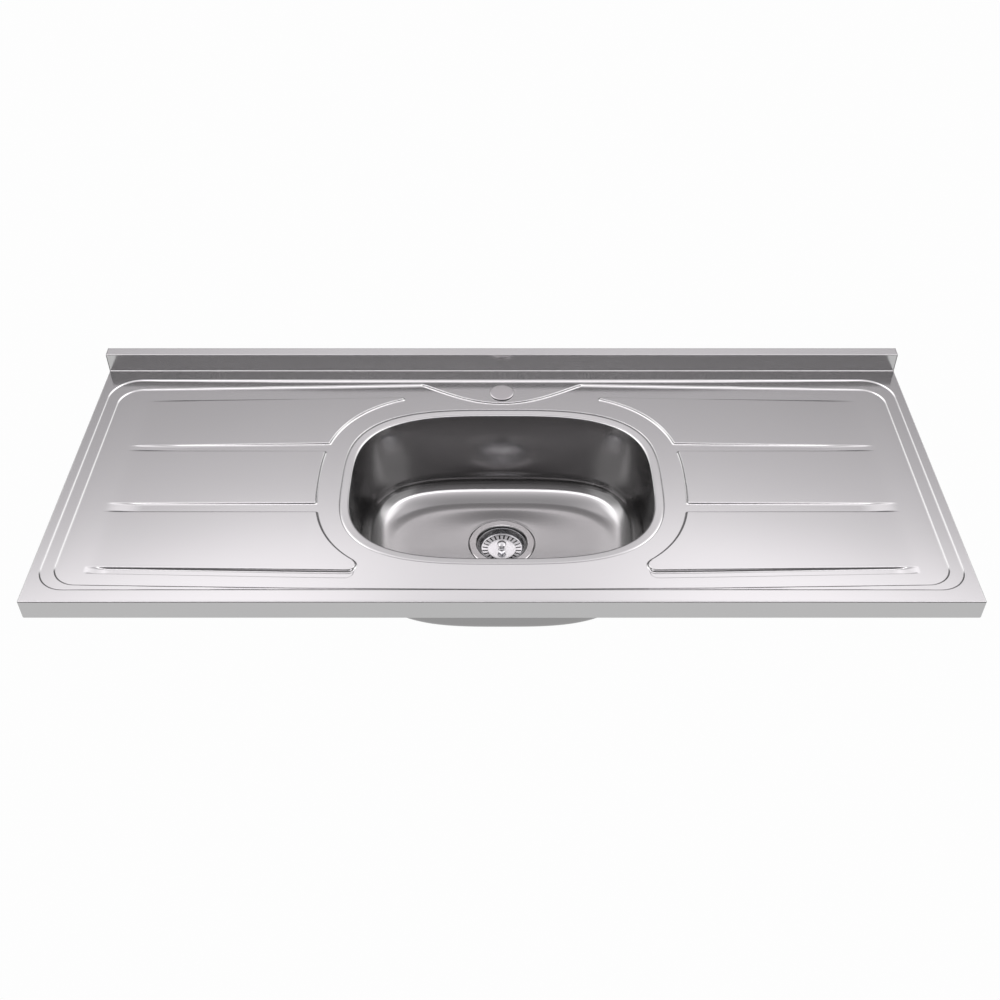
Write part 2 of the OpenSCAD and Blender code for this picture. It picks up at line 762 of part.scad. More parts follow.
module waste_cup() {
    fr = flange_d / 2;
    t = cup_t;
    color(bright) translate([0, waste_y, flange_z]) difference() {
        rotate_extrude() polygon([
            [0, -cup_depth], [sump_r, -cup_depth], [sump_r, -cup_depth + neck_low],
            [cup_r, -cup_depth + neck_high], [cup_r, -shoulder], [shoulder_r, -shoulder],
            [shoulder_r + throat_w, -shoulder + throat_rise], [shoulder_r + throat_flare, 0],
            [fr - flange_bevel, 0], [fr, -flange_edge], [fr, -t], [skirt_d / 2, -t],
            [skirt_d / 2, -skirt_l], [skirt_in_r, -skirt_l], [skirt_in_r, -shoulder - t],
            [cup_r + t, -shoulder - t], [cup_r + t, -cup_depth + neck_high - t / 2],
            [sump_r + t, -cup_depth + neck_low - t / 2], [sump_r + t, -cup_depth - t],
            [0, -cup_depth - t]]);
        // Middle hole, and three kidney slots round it
        translate([0, 0, -cup_depth - over]) cylinder(h = 2 * over, d = guide_hole_d);
        for (a = [90, 210, 330]) rotate([0, 0, a]) kidney_slot();
    }
}

// Kidney slot with a wider lobe at each end
kidney_r = 14.5;
kidney_w = 6.5;
kidney_lobe_d = 9;
kidney_turn = 66;
module kidney_slot() {
    translate([0, 0, -cup_depth - over]) {
        rotate([0, 0, -kidney_turn / 2]) rotate_extrude(angle = kidney_turn)
            translate([kidney_r - kidney_w / 2, 0]) square([kidney_w, 2 * over]);
        for (a = [-kidney_turn / 2, kidney_turn / 2]) rotate([0, 0, a])
            translate([kidney_r, 0, 0]) cylinder(h = 2 * over, d = kidney_lobe_d);
    }
}

// Play of the rings round the skirt
ring_play = 0.4;
module flange_seal() {
    color(rubber_black) translate([0, waste_y, 0])
        ring(bowl_floor_z - seat_depth, flange_seal_t, flange_d / 2 - 1, waste_hole_r + ring_play);
}
module bowl_gasket() {
    color(rubber_black) translate([0, waste_y, 0])
        ring(under_bowl_z - gasket_t, gasket_t, seat_r, skirt_d / 2 + ring_play);
}
module friction_ring() {
    color([0.75, 0.70, 0.58]) translate([0, waste_y, 0])
        ring(under_bowl_z - gasket_t - friction_t, friction_t, seat_r - 1, skirt_d / 2 + ring_play);
}
module waste_locknut() {
    lugs = 6;
    lug_w = 12;
    body_r = skirt_d / 2 + 5;
    lug_r = body_r + 3;
    washer_h = 2;
    nut_z = under_bowl_z - gasket_t - friction_t - locknut_h;
    color(galv) translate([0, waste_y, nut_z]) difference() {
        union() {
            cylinder(h = locknut_h, r = body_r);
            translate([0, 0, locknut_h - washer_h]) cylinder(h = washer_h, r = lug_r);
            for (i = [0:lugs - 1]) rotate([0, 0, 360 * i / lugs])
                translate([body_r - washer_h, -lug_w / 2, 0])
                    cube([lug_r - body_r + washer_h, lug_w, locknut_h]);
        }
        translate([0, 0, -over]) cylinder(h = locknut_h + 2 * over, r = skirt_d / 2 + 0.05);
    }
}

collar_t = 1.5;
outlet_top_z = flange_z - cup_depth - cup_t;
outlet_end_z = outlet_top_z - collar_t - outlet_l;
module outlet_spigot() {
    color(brass) translate([0, waste_y, outlet_end_z]) difference() {
        union() {
            cylinder(h = outlet_l + collar_t, d = outlet_d);
            translate([0, 0, outlet_l]) cylinder(h = collar_t, r = sump_r + cup_t);
        }
        translate([0, 0, -over]) cylinder(h = outlet_l + 3 * over, d = outlet_bore_d);
    }
}

// Basket

basket_t = 1;
boss_r = 5;
boss_h = 4;
cone_in_r = basket_mid_d / 2 + 1;
cone_out_r = basket_d / 2 - 6.5;
cone_top = 6;
bead_h = 1;
slot_ends = 0.3;
grommet_r = stem_d / 2 + 1;
module basket() {
    rim_r = basket_d / 2;
    mid_r = basket_mid_d / 2;
    top = -shoulder + seat + basket_t;
    low = -basket_depth;
    t = basket_t;
    rise = 0.3;
    color(bright) translate([0, waste_y, flange_z]) difference() {
        union() {
            rotate_extrude() polygon([
                [grommet_r, low], [mid_r, low], [mid_r + rise, low - 2 * rise], [cone_in_r, low - rise],
                [cone_out_r, -cone_top], [cone_out_r + 1.4 * bead_h, -cone_top + bead_h],
                [rim_r - 3.6, top], [rim_r - rise, top], [rim_r, top - rise], [rim_r, top - t],
                [rim_r - 2.9, top - t], [cone_out_r + 1.8 * bead_h, -cone_top + bead_h - t - rise],
                [cone_out_r + rise, -cone_top - t - rise], [cone_in_r + rise, low - t - rise],
                [mid_r, low - t - 2 * rise], [mid_r - 2 * rise, low - t], [grommet_r, low - t]]);
            translate([0, 0, low - t]) cylinder(h = boss_h + t, r = boss_r);
        }
        translate([0, 0, low - over]) cylinder(h = 3 * over, r = grommet_r);
        for (i = [0:slots - 1]) rotate([0, 0, 360 * (i + 0.5) / slots])
            translate([cone_in_r + slot_ends, -slot_w / 2, low - over])
                cube([cone_out_r - cone_in_r - 2 * slot_ends, slot_w, 3 * over]);
    }
}

// Bush of soft plastic that grips the stem, with a head under the basket
grommet_head_h = 1.2;
grommet_low = -basket_depth - basket_t - grommet_head_h;
module basket_grommet() {
    fit = 0.05;
    color(rubber_black) translate([0, waste_y, flange_z + grommet_low]) difference() {
        union() {
            cylinder(h = boss_h + basket_t + grommet_head_h, r = grommet_r - fit);
            cylinder(h = grommet_head_h - seat, r = grommet_r + 1.5);
        }
        translate([0, 0, -over]) cylinder(h = 4 * over, r = stem_d / 2 + fit);
    }
}

// Stopper: knob, stem, rubber disc and its retainer
knob_top = 0.5;
knob_h = 5;
seal_t = 3;
seal_low = -cup_depth + seat;
retainer_h = 1.6;
stem_end = 2;
stem_low = seal_low - retainer_h - stem_end;
knob_roof = 1.5;
stem_high = knob_top - knob_roof;
// The collar on the stem stops under the grommet when the knob is lifted
collar_top = grommet_low - knob_lift - seat;
module stopper_stem() {
    collar_low = seal_low + seal_t;
    color(bright) translate([0, waste_y, flange_z]) {
        translate([0, 0, stem_low]) cylinder(h = stem_high - stem_low, d = stem_d);
        translate([0, 0, collar_low]) cylinder(h = collar_top - collar_low, d = 2.4 * stem_d);
    }
}
module stopper_knob() {
    r = knob_d / 2;
    steps = 6;
    neck_r = stem_d / 2 + 1;
    dome_low = 3;
    fit = 0.02;
    color(bright) translate([0, waste_y, flange_z + knob_top - knob_h]) difference() {
        rotate_extrude() polygon(concat(
            [[0, 0], [neck_r, 0], [neck_r, dome_low / 2], [r - dome_low / 5, dome_low - 0.8]],
            [for (i = [0:steps]) let (t = 90 * i / steps)
                [r * cos(t), dome_low + (knob_h - dome_low) * sin(t)]]));
        translate([0, 0, -over]) cylinder(h = over + knob_h - knob_roof + fit, d = stem_d + 2 * fit);
    }
}
module stopper_seal() {
    color(rubber_black) translate([0, waste_y, flange_z])
        ring(seal_low, seal_t, seal_d / 2, stem_d / 2 + 0.02);
}
module seal_retainer() {
    color(bright) translate([0, waste_y, flange_z])
        ring(seal_low - retainer_h, retainer_h, stem_d / 2 + 1.8, stem_d / 2 + 0.02);
}

sink_top();
bowl();
bowl_sound_pad();
left_drainer_pad();
right_drainer_pad();
left_stiffener();
right_stiffener();
fixing_brackets();
earth_tag();
earth_screw();
earth_nut();
tap_hole_cover();
tap_cover_gasket();
tap_cover_washer();
tap_cover_wing_nut();
waste_cup();
flange_seal();
bowl_gasket();
friction_ring();
waste_locknut();
outlet_spigot();
basket();
basket_grommet();
stopper_stem();
stopper_knob();
stopper_seal();
seal_retainer();
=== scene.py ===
import json
import math

import bpy
import numpy as np
from mathutils.geometry import delaunay_2d_cdt
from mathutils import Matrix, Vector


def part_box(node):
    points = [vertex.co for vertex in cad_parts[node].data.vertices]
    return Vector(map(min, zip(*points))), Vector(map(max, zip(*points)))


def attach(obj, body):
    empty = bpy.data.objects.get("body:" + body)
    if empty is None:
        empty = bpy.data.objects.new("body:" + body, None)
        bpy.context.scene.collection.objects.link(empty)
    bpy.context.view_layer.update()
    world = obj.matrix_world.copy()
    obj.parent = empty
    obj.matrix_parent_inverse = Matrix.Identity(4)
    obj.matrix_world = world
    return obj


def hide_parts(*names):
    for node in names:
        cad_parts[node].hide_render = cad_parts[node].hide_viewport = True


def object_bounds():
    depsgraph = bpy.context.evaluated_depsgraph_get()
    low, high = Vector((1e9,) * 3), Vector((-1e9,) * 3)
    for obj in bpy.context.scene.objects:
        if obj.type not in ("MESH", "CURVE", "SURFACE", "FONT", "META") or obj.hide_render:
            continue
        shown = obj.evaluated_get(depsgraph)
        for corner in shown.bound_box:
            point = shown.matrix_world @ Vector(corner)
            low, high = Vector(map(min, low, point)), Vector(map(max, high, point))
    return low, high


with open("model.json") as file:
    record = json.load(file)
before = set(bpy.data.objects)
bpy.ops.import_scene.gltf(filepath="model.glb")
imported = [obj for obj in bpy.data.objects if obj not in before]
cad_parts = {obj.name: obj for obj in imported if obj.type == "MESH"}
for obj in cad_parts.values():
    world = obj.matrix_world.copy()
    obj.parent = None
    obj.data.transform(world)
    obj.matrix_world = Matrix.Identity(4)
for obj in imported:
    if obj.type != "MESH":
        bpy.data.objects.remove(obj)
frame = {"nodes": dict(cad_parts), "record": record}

# The looks of a lay-on kitchen sink. The pressed top and the bowl get fine meshes with
# rounded folds, and the other solids of the frame get soft edges and finishes.
# Shapes are worked out in millimetres in the part's frame and stored in metres.

MM = 0.001
cad_lo, cad_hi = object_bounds()


def node_box(name):
    lo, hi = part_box(name)
    return np.array(lo) / MM, np.array(hi) / MM


# Sizes that the frame gives
TOP_LO, TOP_HI = node_box("sink_top")
CUP_LO, CUP_HI = node_box("waste_cup")
COVER_LO, COVER_HI = node_box("tap_hole_cover")
HALF_W = TOP_HI[0]
FRONT_Y = TOP_LO[1]
BACK_Y = TOP_HI[1]
UPSTAND_Z = TOP_HI[2]
WASTE_Y = (CUP_LO[1] + CUP_HI[1]) / 2
TAP_Y = (COVER_LO[1] + COVER_HI[1]) / 2

# The rim, the well and the upstand
SHEET_T = 0.8
RIM_Z = 30
UPSTAND_T = 17
HEM_W = 20
RIM_SIDE = 12.5
RIM_FRONT = 20
RIM_BACK = 23
WELL_R_FRONT = 38
WELL_R_BACK = 44
WELL_DEPTH = 3
WELL_FALL = 3
SLOPE_SIDE = 19
SLOPE_FRONT = 12.5
SLOPE_BACK = 24
SLOPE_MID = 8
# Shares of the well's length over which its floor turns level, at its end and at the bowl
FLOOR_SOFT_OUT = 0.04
FLOOR_SOFT_IN = 0.06

# The drainer panels and the groove along the first one
PANEL_Y = 59
PANEL_D = 109
PANEL_PITCH = 127
PANEL_RUN_OUT = 72
PANEL_RUN_ON = 20
PANEL_BACK_GAP = 28
PANEL_SWING = 6
PANEL_R = 9
PANEL_TIP_R = 2
TIP_STRAIGHT = 20
# Length of panel edge, in corner radii, that the corner takes up
CORNER_SKIP = 1.55
GROOVE_RUN_ON = 5
GROOVE_W = 10.5
GROOVE_IN_X = -190
GROOVE_R = 9
GROOVE_UNDER_PANEL = 3

# The bowl, its flange and the level ring of the top round it
BOWL_W = 416
BOWL_D = 296
BOWL_MIDDLE = 233
BOWL_DEPTH = 155
BOWL_N = 3.17
FLANGE_W = 13
FLANGE_FALL = 0.3
LAP_W = 7
LIP_R = 3
BOWL_DRAFT = 4
BOTTOM_R_FRONT = 14
BOTTOM_R = 42
BOWL_FALL = 2.5
# The seat of the waste: its radius, its soft edge and its depth, and the hole inside it
SEAT_R = 48.9
SEAT_MARGIN = 1
SEAT_DEPTH = 1.8
WASTE_HOLE_R = 40
# The level ring: how far it reaches past the opening, and how far its middle is moved back
RING_SIDE_W = 33
RING_END_W = 39
RING_SHIFT = 2
SURROUND_N = 2.7

# The raised ledge with the tap hole
LEDGE_HALF_W = 130
LEDGE_REACH = 51
LEDGE_DROP = 3
LEDGE_FLATNESS = 0.55
LEDGE_INSET = 2
LEDGE_RUN_ON = 5
TAP_HOLE_R = 14

# Places that follow from the sizes
BOWL_CY = FRONT_Y + BOWL_MIDDLE
OPEN_A = BOWL_W / 2 + FLANGE_W
OPEN_B = BOWL_D / 2 + FLANGE_W
SURROUND_A = OPEN_A + RING_SIDE_W
SURROUND_B = OPEN_B + RING_END_W
SURROUND_CY = BOWL_CY + RING_SHIFT
UPSTAND_Y = BACK_Y - UPSTAND_T
WELL_X = HALF_W - RIM_SIDE
WELL_FRONT_Y = FRONT_Y + RIM_FRONT
WELL_BACK_Y = UPSTAND_Y - RIM_BACK
FOOT_X = WELL_X - SLOPE_SIDE
PANEL_OUT_X = -(HALF_W - PANEL_RUN_OUT)
PANEL_END_X = PANEL_OUT_X - PANEL_RUN_ON
BOWL_FLOOR_Z = RIM_Z - BOWL_DEPTH
EDGE_DEPTH = BOWL_DEPTH - BOWL_FALL
GROOVE_OUT_X = PANEL_OUT_X - GROOVE_RUN_ON

# Sides of the press marks: their widths, and the lengths that round their folds
WELL_STEP_RUN = 1.5
PANEL_FOLD = 0.6
PANEL_FOOT = 1.6
PANEL_SIDE_W = 1.5
LEDGE_FOLD = 0.6
LEDGE_FOOT = 1.0
LEDGE_SIDE_W = 2.0
GROOVE_SIDE_W = 1.6
# Depths of the groove and of the two strips, at the outer end and at the bowl
GROOVE_DROPS = ((3.2, 1.6), (2.2, 0), (2.0, 0))
# Lengths over which they start
GROOVE_FADES = (30, 48, 90)
# Share of a panel's length over which its top starts to rise
PANEL_START = 0.05

# Folded edges and corners
CORNER_R = 2.0
RIM_FOLD_R = 1.9
TOP_FOLD_R = 1.3
TOP_LEAN = math.radians(3)
UPSTAND_FOLD_R = 1.6
EDGE_R = 1.2
END_PLATE_IN = 0.15

# Guards against a division by zero, and points that signed_distance takes at a time
TINY = 1e-9
TINY_SQUARE = 1e-12
BATCH = 4000

# Digits of a millimetre that tell two points of a mesh apart
MERGE_DIGITS = 3
# Points and steps of the outlines, and the power by which a curve's points spread
EVEN_FINENESS = 8
WELL_CORNER_STEPS = 16
CURVE_STEPS = 24
CURVE_SPREAD = 1.6
ROUND_STEPS = 8
TIP_TRIES = 6
LEDGE_POINTS = 61
# Points and steps of the top, and the steps over which its slope is measured
FOLD_POINTS = 7
EDGE_TURNS = 6
PATH_STEP = 12
BACK_POINTS = 101
HOLE_POINTS = 320
TAP_STEPS = 48
UPSTAND_POINTS = 103
SLOPE_STEP = 0.05
# The grid of the top: its steps, and how far it stays from the edges and from the opening
GRID_X = 14
GRID_Y = 11
GRID_SIDE = 12
GRID_FRONT = 10
GRID_BACK = 4
GRID_HOLE = 3
# Distance within which two points of the top become one
MEET_SLIP = 1e-4
# Distances of the mesh's lines from the outlines that they follow, and of their points
HOLE_LINES = (1.5, 5)
WELL_LINES = (-6, -4.5, -3.7, -3, -2.5, -2.1, -1.7, -1.3, -0.9, -0.4, 0, 0.8, 2)
PANEL_LINES = (-2, -0.6, -0.3, 0, 0.3, 0.6, 0.9, 1.2, 1.5, 1.9, 2.3, 2.7, 3.2, 5)
GROOVE_LINES = (-1.2, 0, 0.4, 0.8, 1.2, 1.6, 2.6)
LEDGE_LINES = (-2, -0.6, -0.3, 0, 0.3, 0.6, 1, 1.35, 1.7, 2.1, 2.5, 3, 4.2)
WELL_LINE_STEP = 9
PANEL_LINE_STEP = 7
LEDGE_LINE_STEP = 4
# How far a point may slip from its line, the longest edge, and distances from the rim's folds
LINE_SLIP = 0.06
LINE_GAP = 13
LINE_EDGE = 4
LINE_BACK = 1
# Points round the bowl, and rows of points on its flange, lip, wall, bottom curve and floor
BOWL_POINTS = 288
FLANGE_POINTS = 7
LIP_POINTS = 9
WALL_POINTS = 12
BOTTOM_POINTS = 25
FLOOR_RINGS = 12


# Plane curves


def superellipse(a, b, n, cy, count):
    t = np.arange(count) * 2 * math.pi / count
    c, s = np.cos(t), np.sin(t)
    x = a * np.sign(c) * np.abs(c) ** (2 / n)
    y = cy + b * np.sign(s) * np.abs(s) ** (2 / n)
    return np.column_stack([x, y])


def even_superellipse(a, b, n, cy, count):
    """The same curve with its points at even distances, starting on the right."""
    fine = superellipse(a, b, n, 0, EVEN_FINENESS * count)
    return resample(fine, count) + [0, cy]


def resample(loop, count):
    closed = np.vstack([loop, loop[:1]])
    run = np.concatenate([[0], np.cumsum(np.linalg.norm(np.diff(closed, axis=0), axis=1))])
    at = np.arange(count) * run[-1] / count
    return np.column_stack([np.interp(at, run, closed[:, k]) for k in range(2)])


def arc(cx, cy, r, start, end, steps):
    t = np.radians(np.linspace(start, end, steps + 1))
    return np.column_stack([cx + r * np.cos(t), cy + r * np.sin(t)])


def unit(v):
    return v / np.linalg.norm(v)


def rounded_corner(a, b, c, r, steps):
    a, b, c = (np.array(p, float) for p in (a, b, c))
    u, v = unit(a - b), unit(c - b)
    half = math.acos(np.clip(u @ v, -1, 1)) / 2
    centre = b + unit(u + v) * r / math.sin(half)
    first, last = b + u * r / math.tan(half), b + v * r / math.tan(half)
    start = math.atan2(*(first - centre)[::-1])
    turn = (math.atan2(*(last - centre)[::-1]) - start + math.pi) % (2 * math.pi) - math.pi
    t = start + turn * np.linspace(0, 1, steps + 1)
    return centre + r * np.column_stack([np.cos(t), np.sin(t)])


def grown(loop, d):
    """A closed counter-clockwise outline moved outwards by d."""
    before, after = np.roll(loop, 1, axis=0), np.roll(loop, -1, axis=0)
    u = (loop - before) / np.linalg.norm(loop - before, axis=1, keepdims=True)
    v = (after - loop) / np.linalg.norm(after - loop, axis=1, keepdims=True)
    nu = np.column_stack([u[:, 1], -u[:, 0]])
    nv = np.column_stack([v[:, 1], -v[:, 0]])
    return loop + (nu + nv) * d / (1 + np.sum(nu * nv, axis=1, keepdims=True))


def refined(loop, step):
    """The outline with points added, so that none are further apart than step."""
    out = []
    for p, q in zip(loop, np.roll(loop, -1, axis=0)):
        parts = max(1, math.ceil(np.linalg.norm(q - p) / step))
        out.extend(p + (q - p) * k / parts for k in range(parts))
    return np.array(out)


def signed_distance(points, loop):
    """Distance to a closed outline, negative inside."""
    a, b = loop, np.roll(loop, -1, axis=0)
    ab = b - a
    length2 = np.maximum(np.sum(ab * ab, axis=1), TINY_SQUARE)
    out = np.empty(len(points))
    for start in range(0, len(points), BATCH):
        p = points[start : start + BATCH, None, :]
        ap = p - a
        t = np.clip(np.sum(ap * ab, axis=2) / length2, 0, 1)
        gap = ap - t[..., None] * ab
        d = np.sqrt(np.min(np.sum(gap * gap, axis=2), axis=1))
        rises = (a[:, 1] > p[..., 1]) != (b[:, 1] > p[..., 1])
        with np.errstate(divide="ignore", invalid="ignore"):
            cross_x = a[:, 0] + ab[:, 0] * (p[..., 1] - a[:, 1]) / ab[:, 1]
        inside = np.sum(rises & (p[..., 0] < cross_x), axis=1) % 2 == 1
        out[start : start + BATCH] = np.where(inside, -d, d)
    return out


def soft_max(a, b, k):
    """The larger of a and b, rounded where they are within k of each other."""
    return np.maximum(a, b) + np.maximum(k - np.abs(a - b), 0) ** 2 / (4 * k)


def ramp(at, width, fold, foot):
    """Rises from 0 to 1 over a width, rounded over a fold at the start and at the foot."""
    return 1 - soft_max(1 - soft_max(at / width, 0, fold / width), 0, foot / width)


def ease(at):
    share = np.clip(at, 0, 1)
    return share * share * (3 - 2 * share)


# The pressed surface


def well_outline(x, yf, yb, rf, rb, sag_f, sag_b):
    """Outline of the well, whose front and back edges move in by a sag beside the bowl."""
    steps = WELL_CORNER_STEPS
    bend = SURROUND_A
    share = 1 - bend / x
    return np.vstack(
        [
            arc(-x + rf, yf + rf, rf, 180, 270, steps),
            [[-bend, yf - sag_f * share], [0, yf - sag_f], [bend, yf - sag_f * share]],
            arc(x - rf, yf + rf, rf, 270, 360, steps),
            arc(x - rb, yb - rb, rb, 0, 90, steps),
            [[bend, yb + sag_b * share], [0, yb + sag_b], [-bend, yb + sag_b * share]],
            arc(-x + rb, yb - rb, rb, 90, 180, steps),
        ]
    )


WELL_EDGE = well_outline(WELL_X, WELL_FRONT_Y, WELL_BACK_Y, WELL_R_FRONT, WELL_R_BACK, 0, 0)
WELL_FOOT = well_outline(
    FOOT_X,
    WELL_FRONT_Y + SLOPE_FRONT,
    WELL_BACK_Y - SLOPE_BACK,
    WELL_R_FRONT - SLOPE_FRONT / 2,
    WELL_R_BACK - SLOPE_BACK / 2,
    SLOPE_FRONT - SLOPE_MID,
    SLOPE_BACK - SLOPE_MID,
)


def floor_z(x):
    share = (FOOT_X - np.abs(x)) / (FOOT_X - SURROUND_A)
    soft = 1 - soft_max(1 - soft_max(share, 0, FLOOR_SOFT_OUT), 0, FLOOR_SOFT_IN)
    return RIM_Z - WELL_DEPTH - WELL_FALL * soft


def surround_x(y):
    inside = np.maximum(0, 1 - (np.abs(y - SURROUND_CY) / SURROUND_B) ** SURROUND_N)
    return -SURROUND_A * inside ** (1 / SURROUND_N)


def surround_y(x):
    inside = 1 - (np.abs(x) / SURROUND_A) ** SURROUND_N
    return SURROUND_CY + SURROUND_B * inside ** (1 / SURROUND_N)


def back_edge_y(x):
    share = np.abs(x) / FOOT_X
    return WELL_BACK_Y - SLOPE_MID - PANEL_BACK_GAP - (SLOPE_BACK - SLOPE_MID) * share


def panel_front(i):
    return FRONT_Y + PANEL_Y + i * PANEL_PITCH


def front_panel():
    y0 = panel_front(0)
    y1 = y0 + PANEL_D
    ys = np.linspace(y0 + CORNER_SKIP * PANEL_R, y1, CURVE_STEPS + 1)
    curve = np.column_stack([surround_x(ys), ys])
    corner, end = [surround_x(y0), y0], [PANEL_END_X, y1]
    outer = [PANEL_END_X, y0 + PANEL_SWING]
    near = rounded_corner(outer, corner, curve[0], PANEL_R, ROUND_STEPS)
    far = rounded_corner(curve[-2], curve[-1], end, PANEL_TIP_R, ROUND_STEPS)
    return np.vstack([[outer], near, curve[1:-1], far, [end]])


def middle_panel():
    y0 = panel_front(1)
    y1 = y0 + PANEL_D
    ys = np.linspace(y0, y1, CURVE_STEPS + 1)
    curve = np.column_stack([surround_x(ys), ys])
    end = [PANEL_END_X, y1]
    near = rounded_corner([PANEL_END_X, y0], curve[0], curve[1], PANEL_TIP_R, ROUND_STEPS)
    far = rounded_corner(curve[-2], curve[-1], end, PANEL_TIP_R, ROUND_STEPS)
    return np.vstack([[[PANEL_END_X, y0]], near, curve[1:-1], far, [end]])


def back_panel():
    y0 = panel_front(2)
    tip_x = -SURROUND_A / 2
    for _ in range(TIP_TRIES):
        tip_x = surround_x(back_edge_y(tip_x))
    x0 = surround_x(y0)
    share = np.linspace(0, 1, CURVE_STEPS + 1) ** CURVE_SPREAD
    xs = x0 + (tip_x - TIP_STRAIGHT - x0) * share
    curve = np.column_stack([xs, surround_y(xs)])
    tip, end = [tip_x, back_edge_y(tip_x)], [PANEL_END_X, back_edge_y(PANEL_END_X)]
    outer = [PANEL_END_X, y0 - PANEL_SWING]
    near = rounded_corner(outer, [x0, y0], curve[1], PANEL_TIP_R, ROUND_STEPS)
    far = rounded_corner(curve[-1], tip, end, PANEL_TIP_R, ROUND_STEPS)
    return np.vstack([[outer], near, curve[1:], far, [end]])


LEFT_PANELS = [front_panel(), middle_panel(), back_panel()]


def groove_outlines():
    """The groove along the front panel, and the strips in front of the other panels."""
    y0 = panel_front(0) - GROOVE_W
    y1 = panel_front(0) + GROOVE_UNDER_PANEL
    first, corner, last = [GROOVE_OUT_X, y0 + PANEL_SWING], [GROOVE_IN_X, y0], [GROOVE_IN_X, y1]
    near = rounded_corner(first, corner, last, GROOVE_R, ROUND_STEPS)
    out = [np.vstack([[first], near, [last], [[GROOVE_OUT_X, y1 + PANEL_SWING]]])]
    for i in (1, 2):
        near_y = panel_front(i - 1) + PANEL_D - GROOVE_UNDER_PANEL
        far_y = panel_front(i) + GROOVE_UNDER_PANEL
        near = [[GROOVE_OUT_X, near_y], [-SURROUND_A, near_y]]
        far = [[-SURROUND_A, far_y], [GROOVE_OUT_X, far_y]]
        out.append(np.array(near + far))
    return out


GROOVES = groove_outlines()


def ledge_outline():
    xs = LEDGE_HALF_W * np.linspace(-1, 1, LEDGE_POINTS)
    swell = (1 + np.cos(math.pi * xs / LEDGE_HALF_W)) / 2
    shore = WELL_BACK_Y - LEDGE_INSET - LEDGE_REACH * swell**LEDGE_FLATNESS
    back_y = WELL_BACK_Y + LEDGE_RUN_ON
    back = [[LEDGE_HALF_W, back_y], [-LEDGE_HALF_W, back_y]]
    return np.vstack([np.column_stack([xs, shore]), back])


LEDGE = ledge_outline()


def deck_height(points):
    """Height of the pressed sheet's upper face."""
    left = np.column_stack([-np.abs(points[:, 0]), points[:, 1]])
    x = left[:, 0]
    inward = -signed_distance(left, WELL_EDGE)
    width = np.maximum(signed_distance(left, WELL_FOOT) + inward, SLOPE_MID / 2)
    step = (RIM_Z - floor_z(x)) / 2
    run = WELL_STEP_RUN * step
    z = RIM_Z - step * (ease(inward / run) + ease((inward - width) / run + 1))
    along = np.clip((x - GROOVE_OUT_X) / (-SURROUND_A - GROOVE_OUT_X), 0, 1)
    for loop, (outer, inner), fade in zip(GROOVES, GROOVE_DROPS, GROOVE_FADES):
        drop = outer + (inner - outer) * along
        drop *= ease((x - GROOVE_OUT_X) / fade)
        z -= drop * (1 - ease(signed_distance(left, loop) / GROOVE_SIDE_W))
    share = np.clip((x - PANEL_OUT_X) / (-SURROUND_A - PANEL_OUT_X), 0, 1)
    top = floor_z(x) + WELL_FALL * share * share / (share + PANEL_START) * (1 + PANEL_START)
    for loop in LEFT_PANELS:
        side = ramp(signed_distance(left, loop), PANEL_SIDE_W, PANEL_FOLD, PANEL_FOOT)
        z += (top - z) * (1 - side)
    ledge = 1 - ramp(signed_distance(left, LEDGE), LEDGE_SIDE_W, LEDGE_FOLD, LEDGE_FOOT)
    return np.maximum(z, z + (RIM_Z - LEDGE_DROP - z) * ledge)


def deck_normals(points):
    eps = SLOPE_STEP
    dx = deck_height(points + [eps, 0]) - deck_height(points - [eps, 0])
    dy = deck_height(points + [0, eps]) - deck_height(points - [0, eps])
    n = np.column_stack([-dx / (2 * eps), -dy / (2 * eps), np.ones(len(points))])
    return n / np.linalg.norm(n, axis=1, keepdims=True)


# Sheet metal as a mesh with two faces


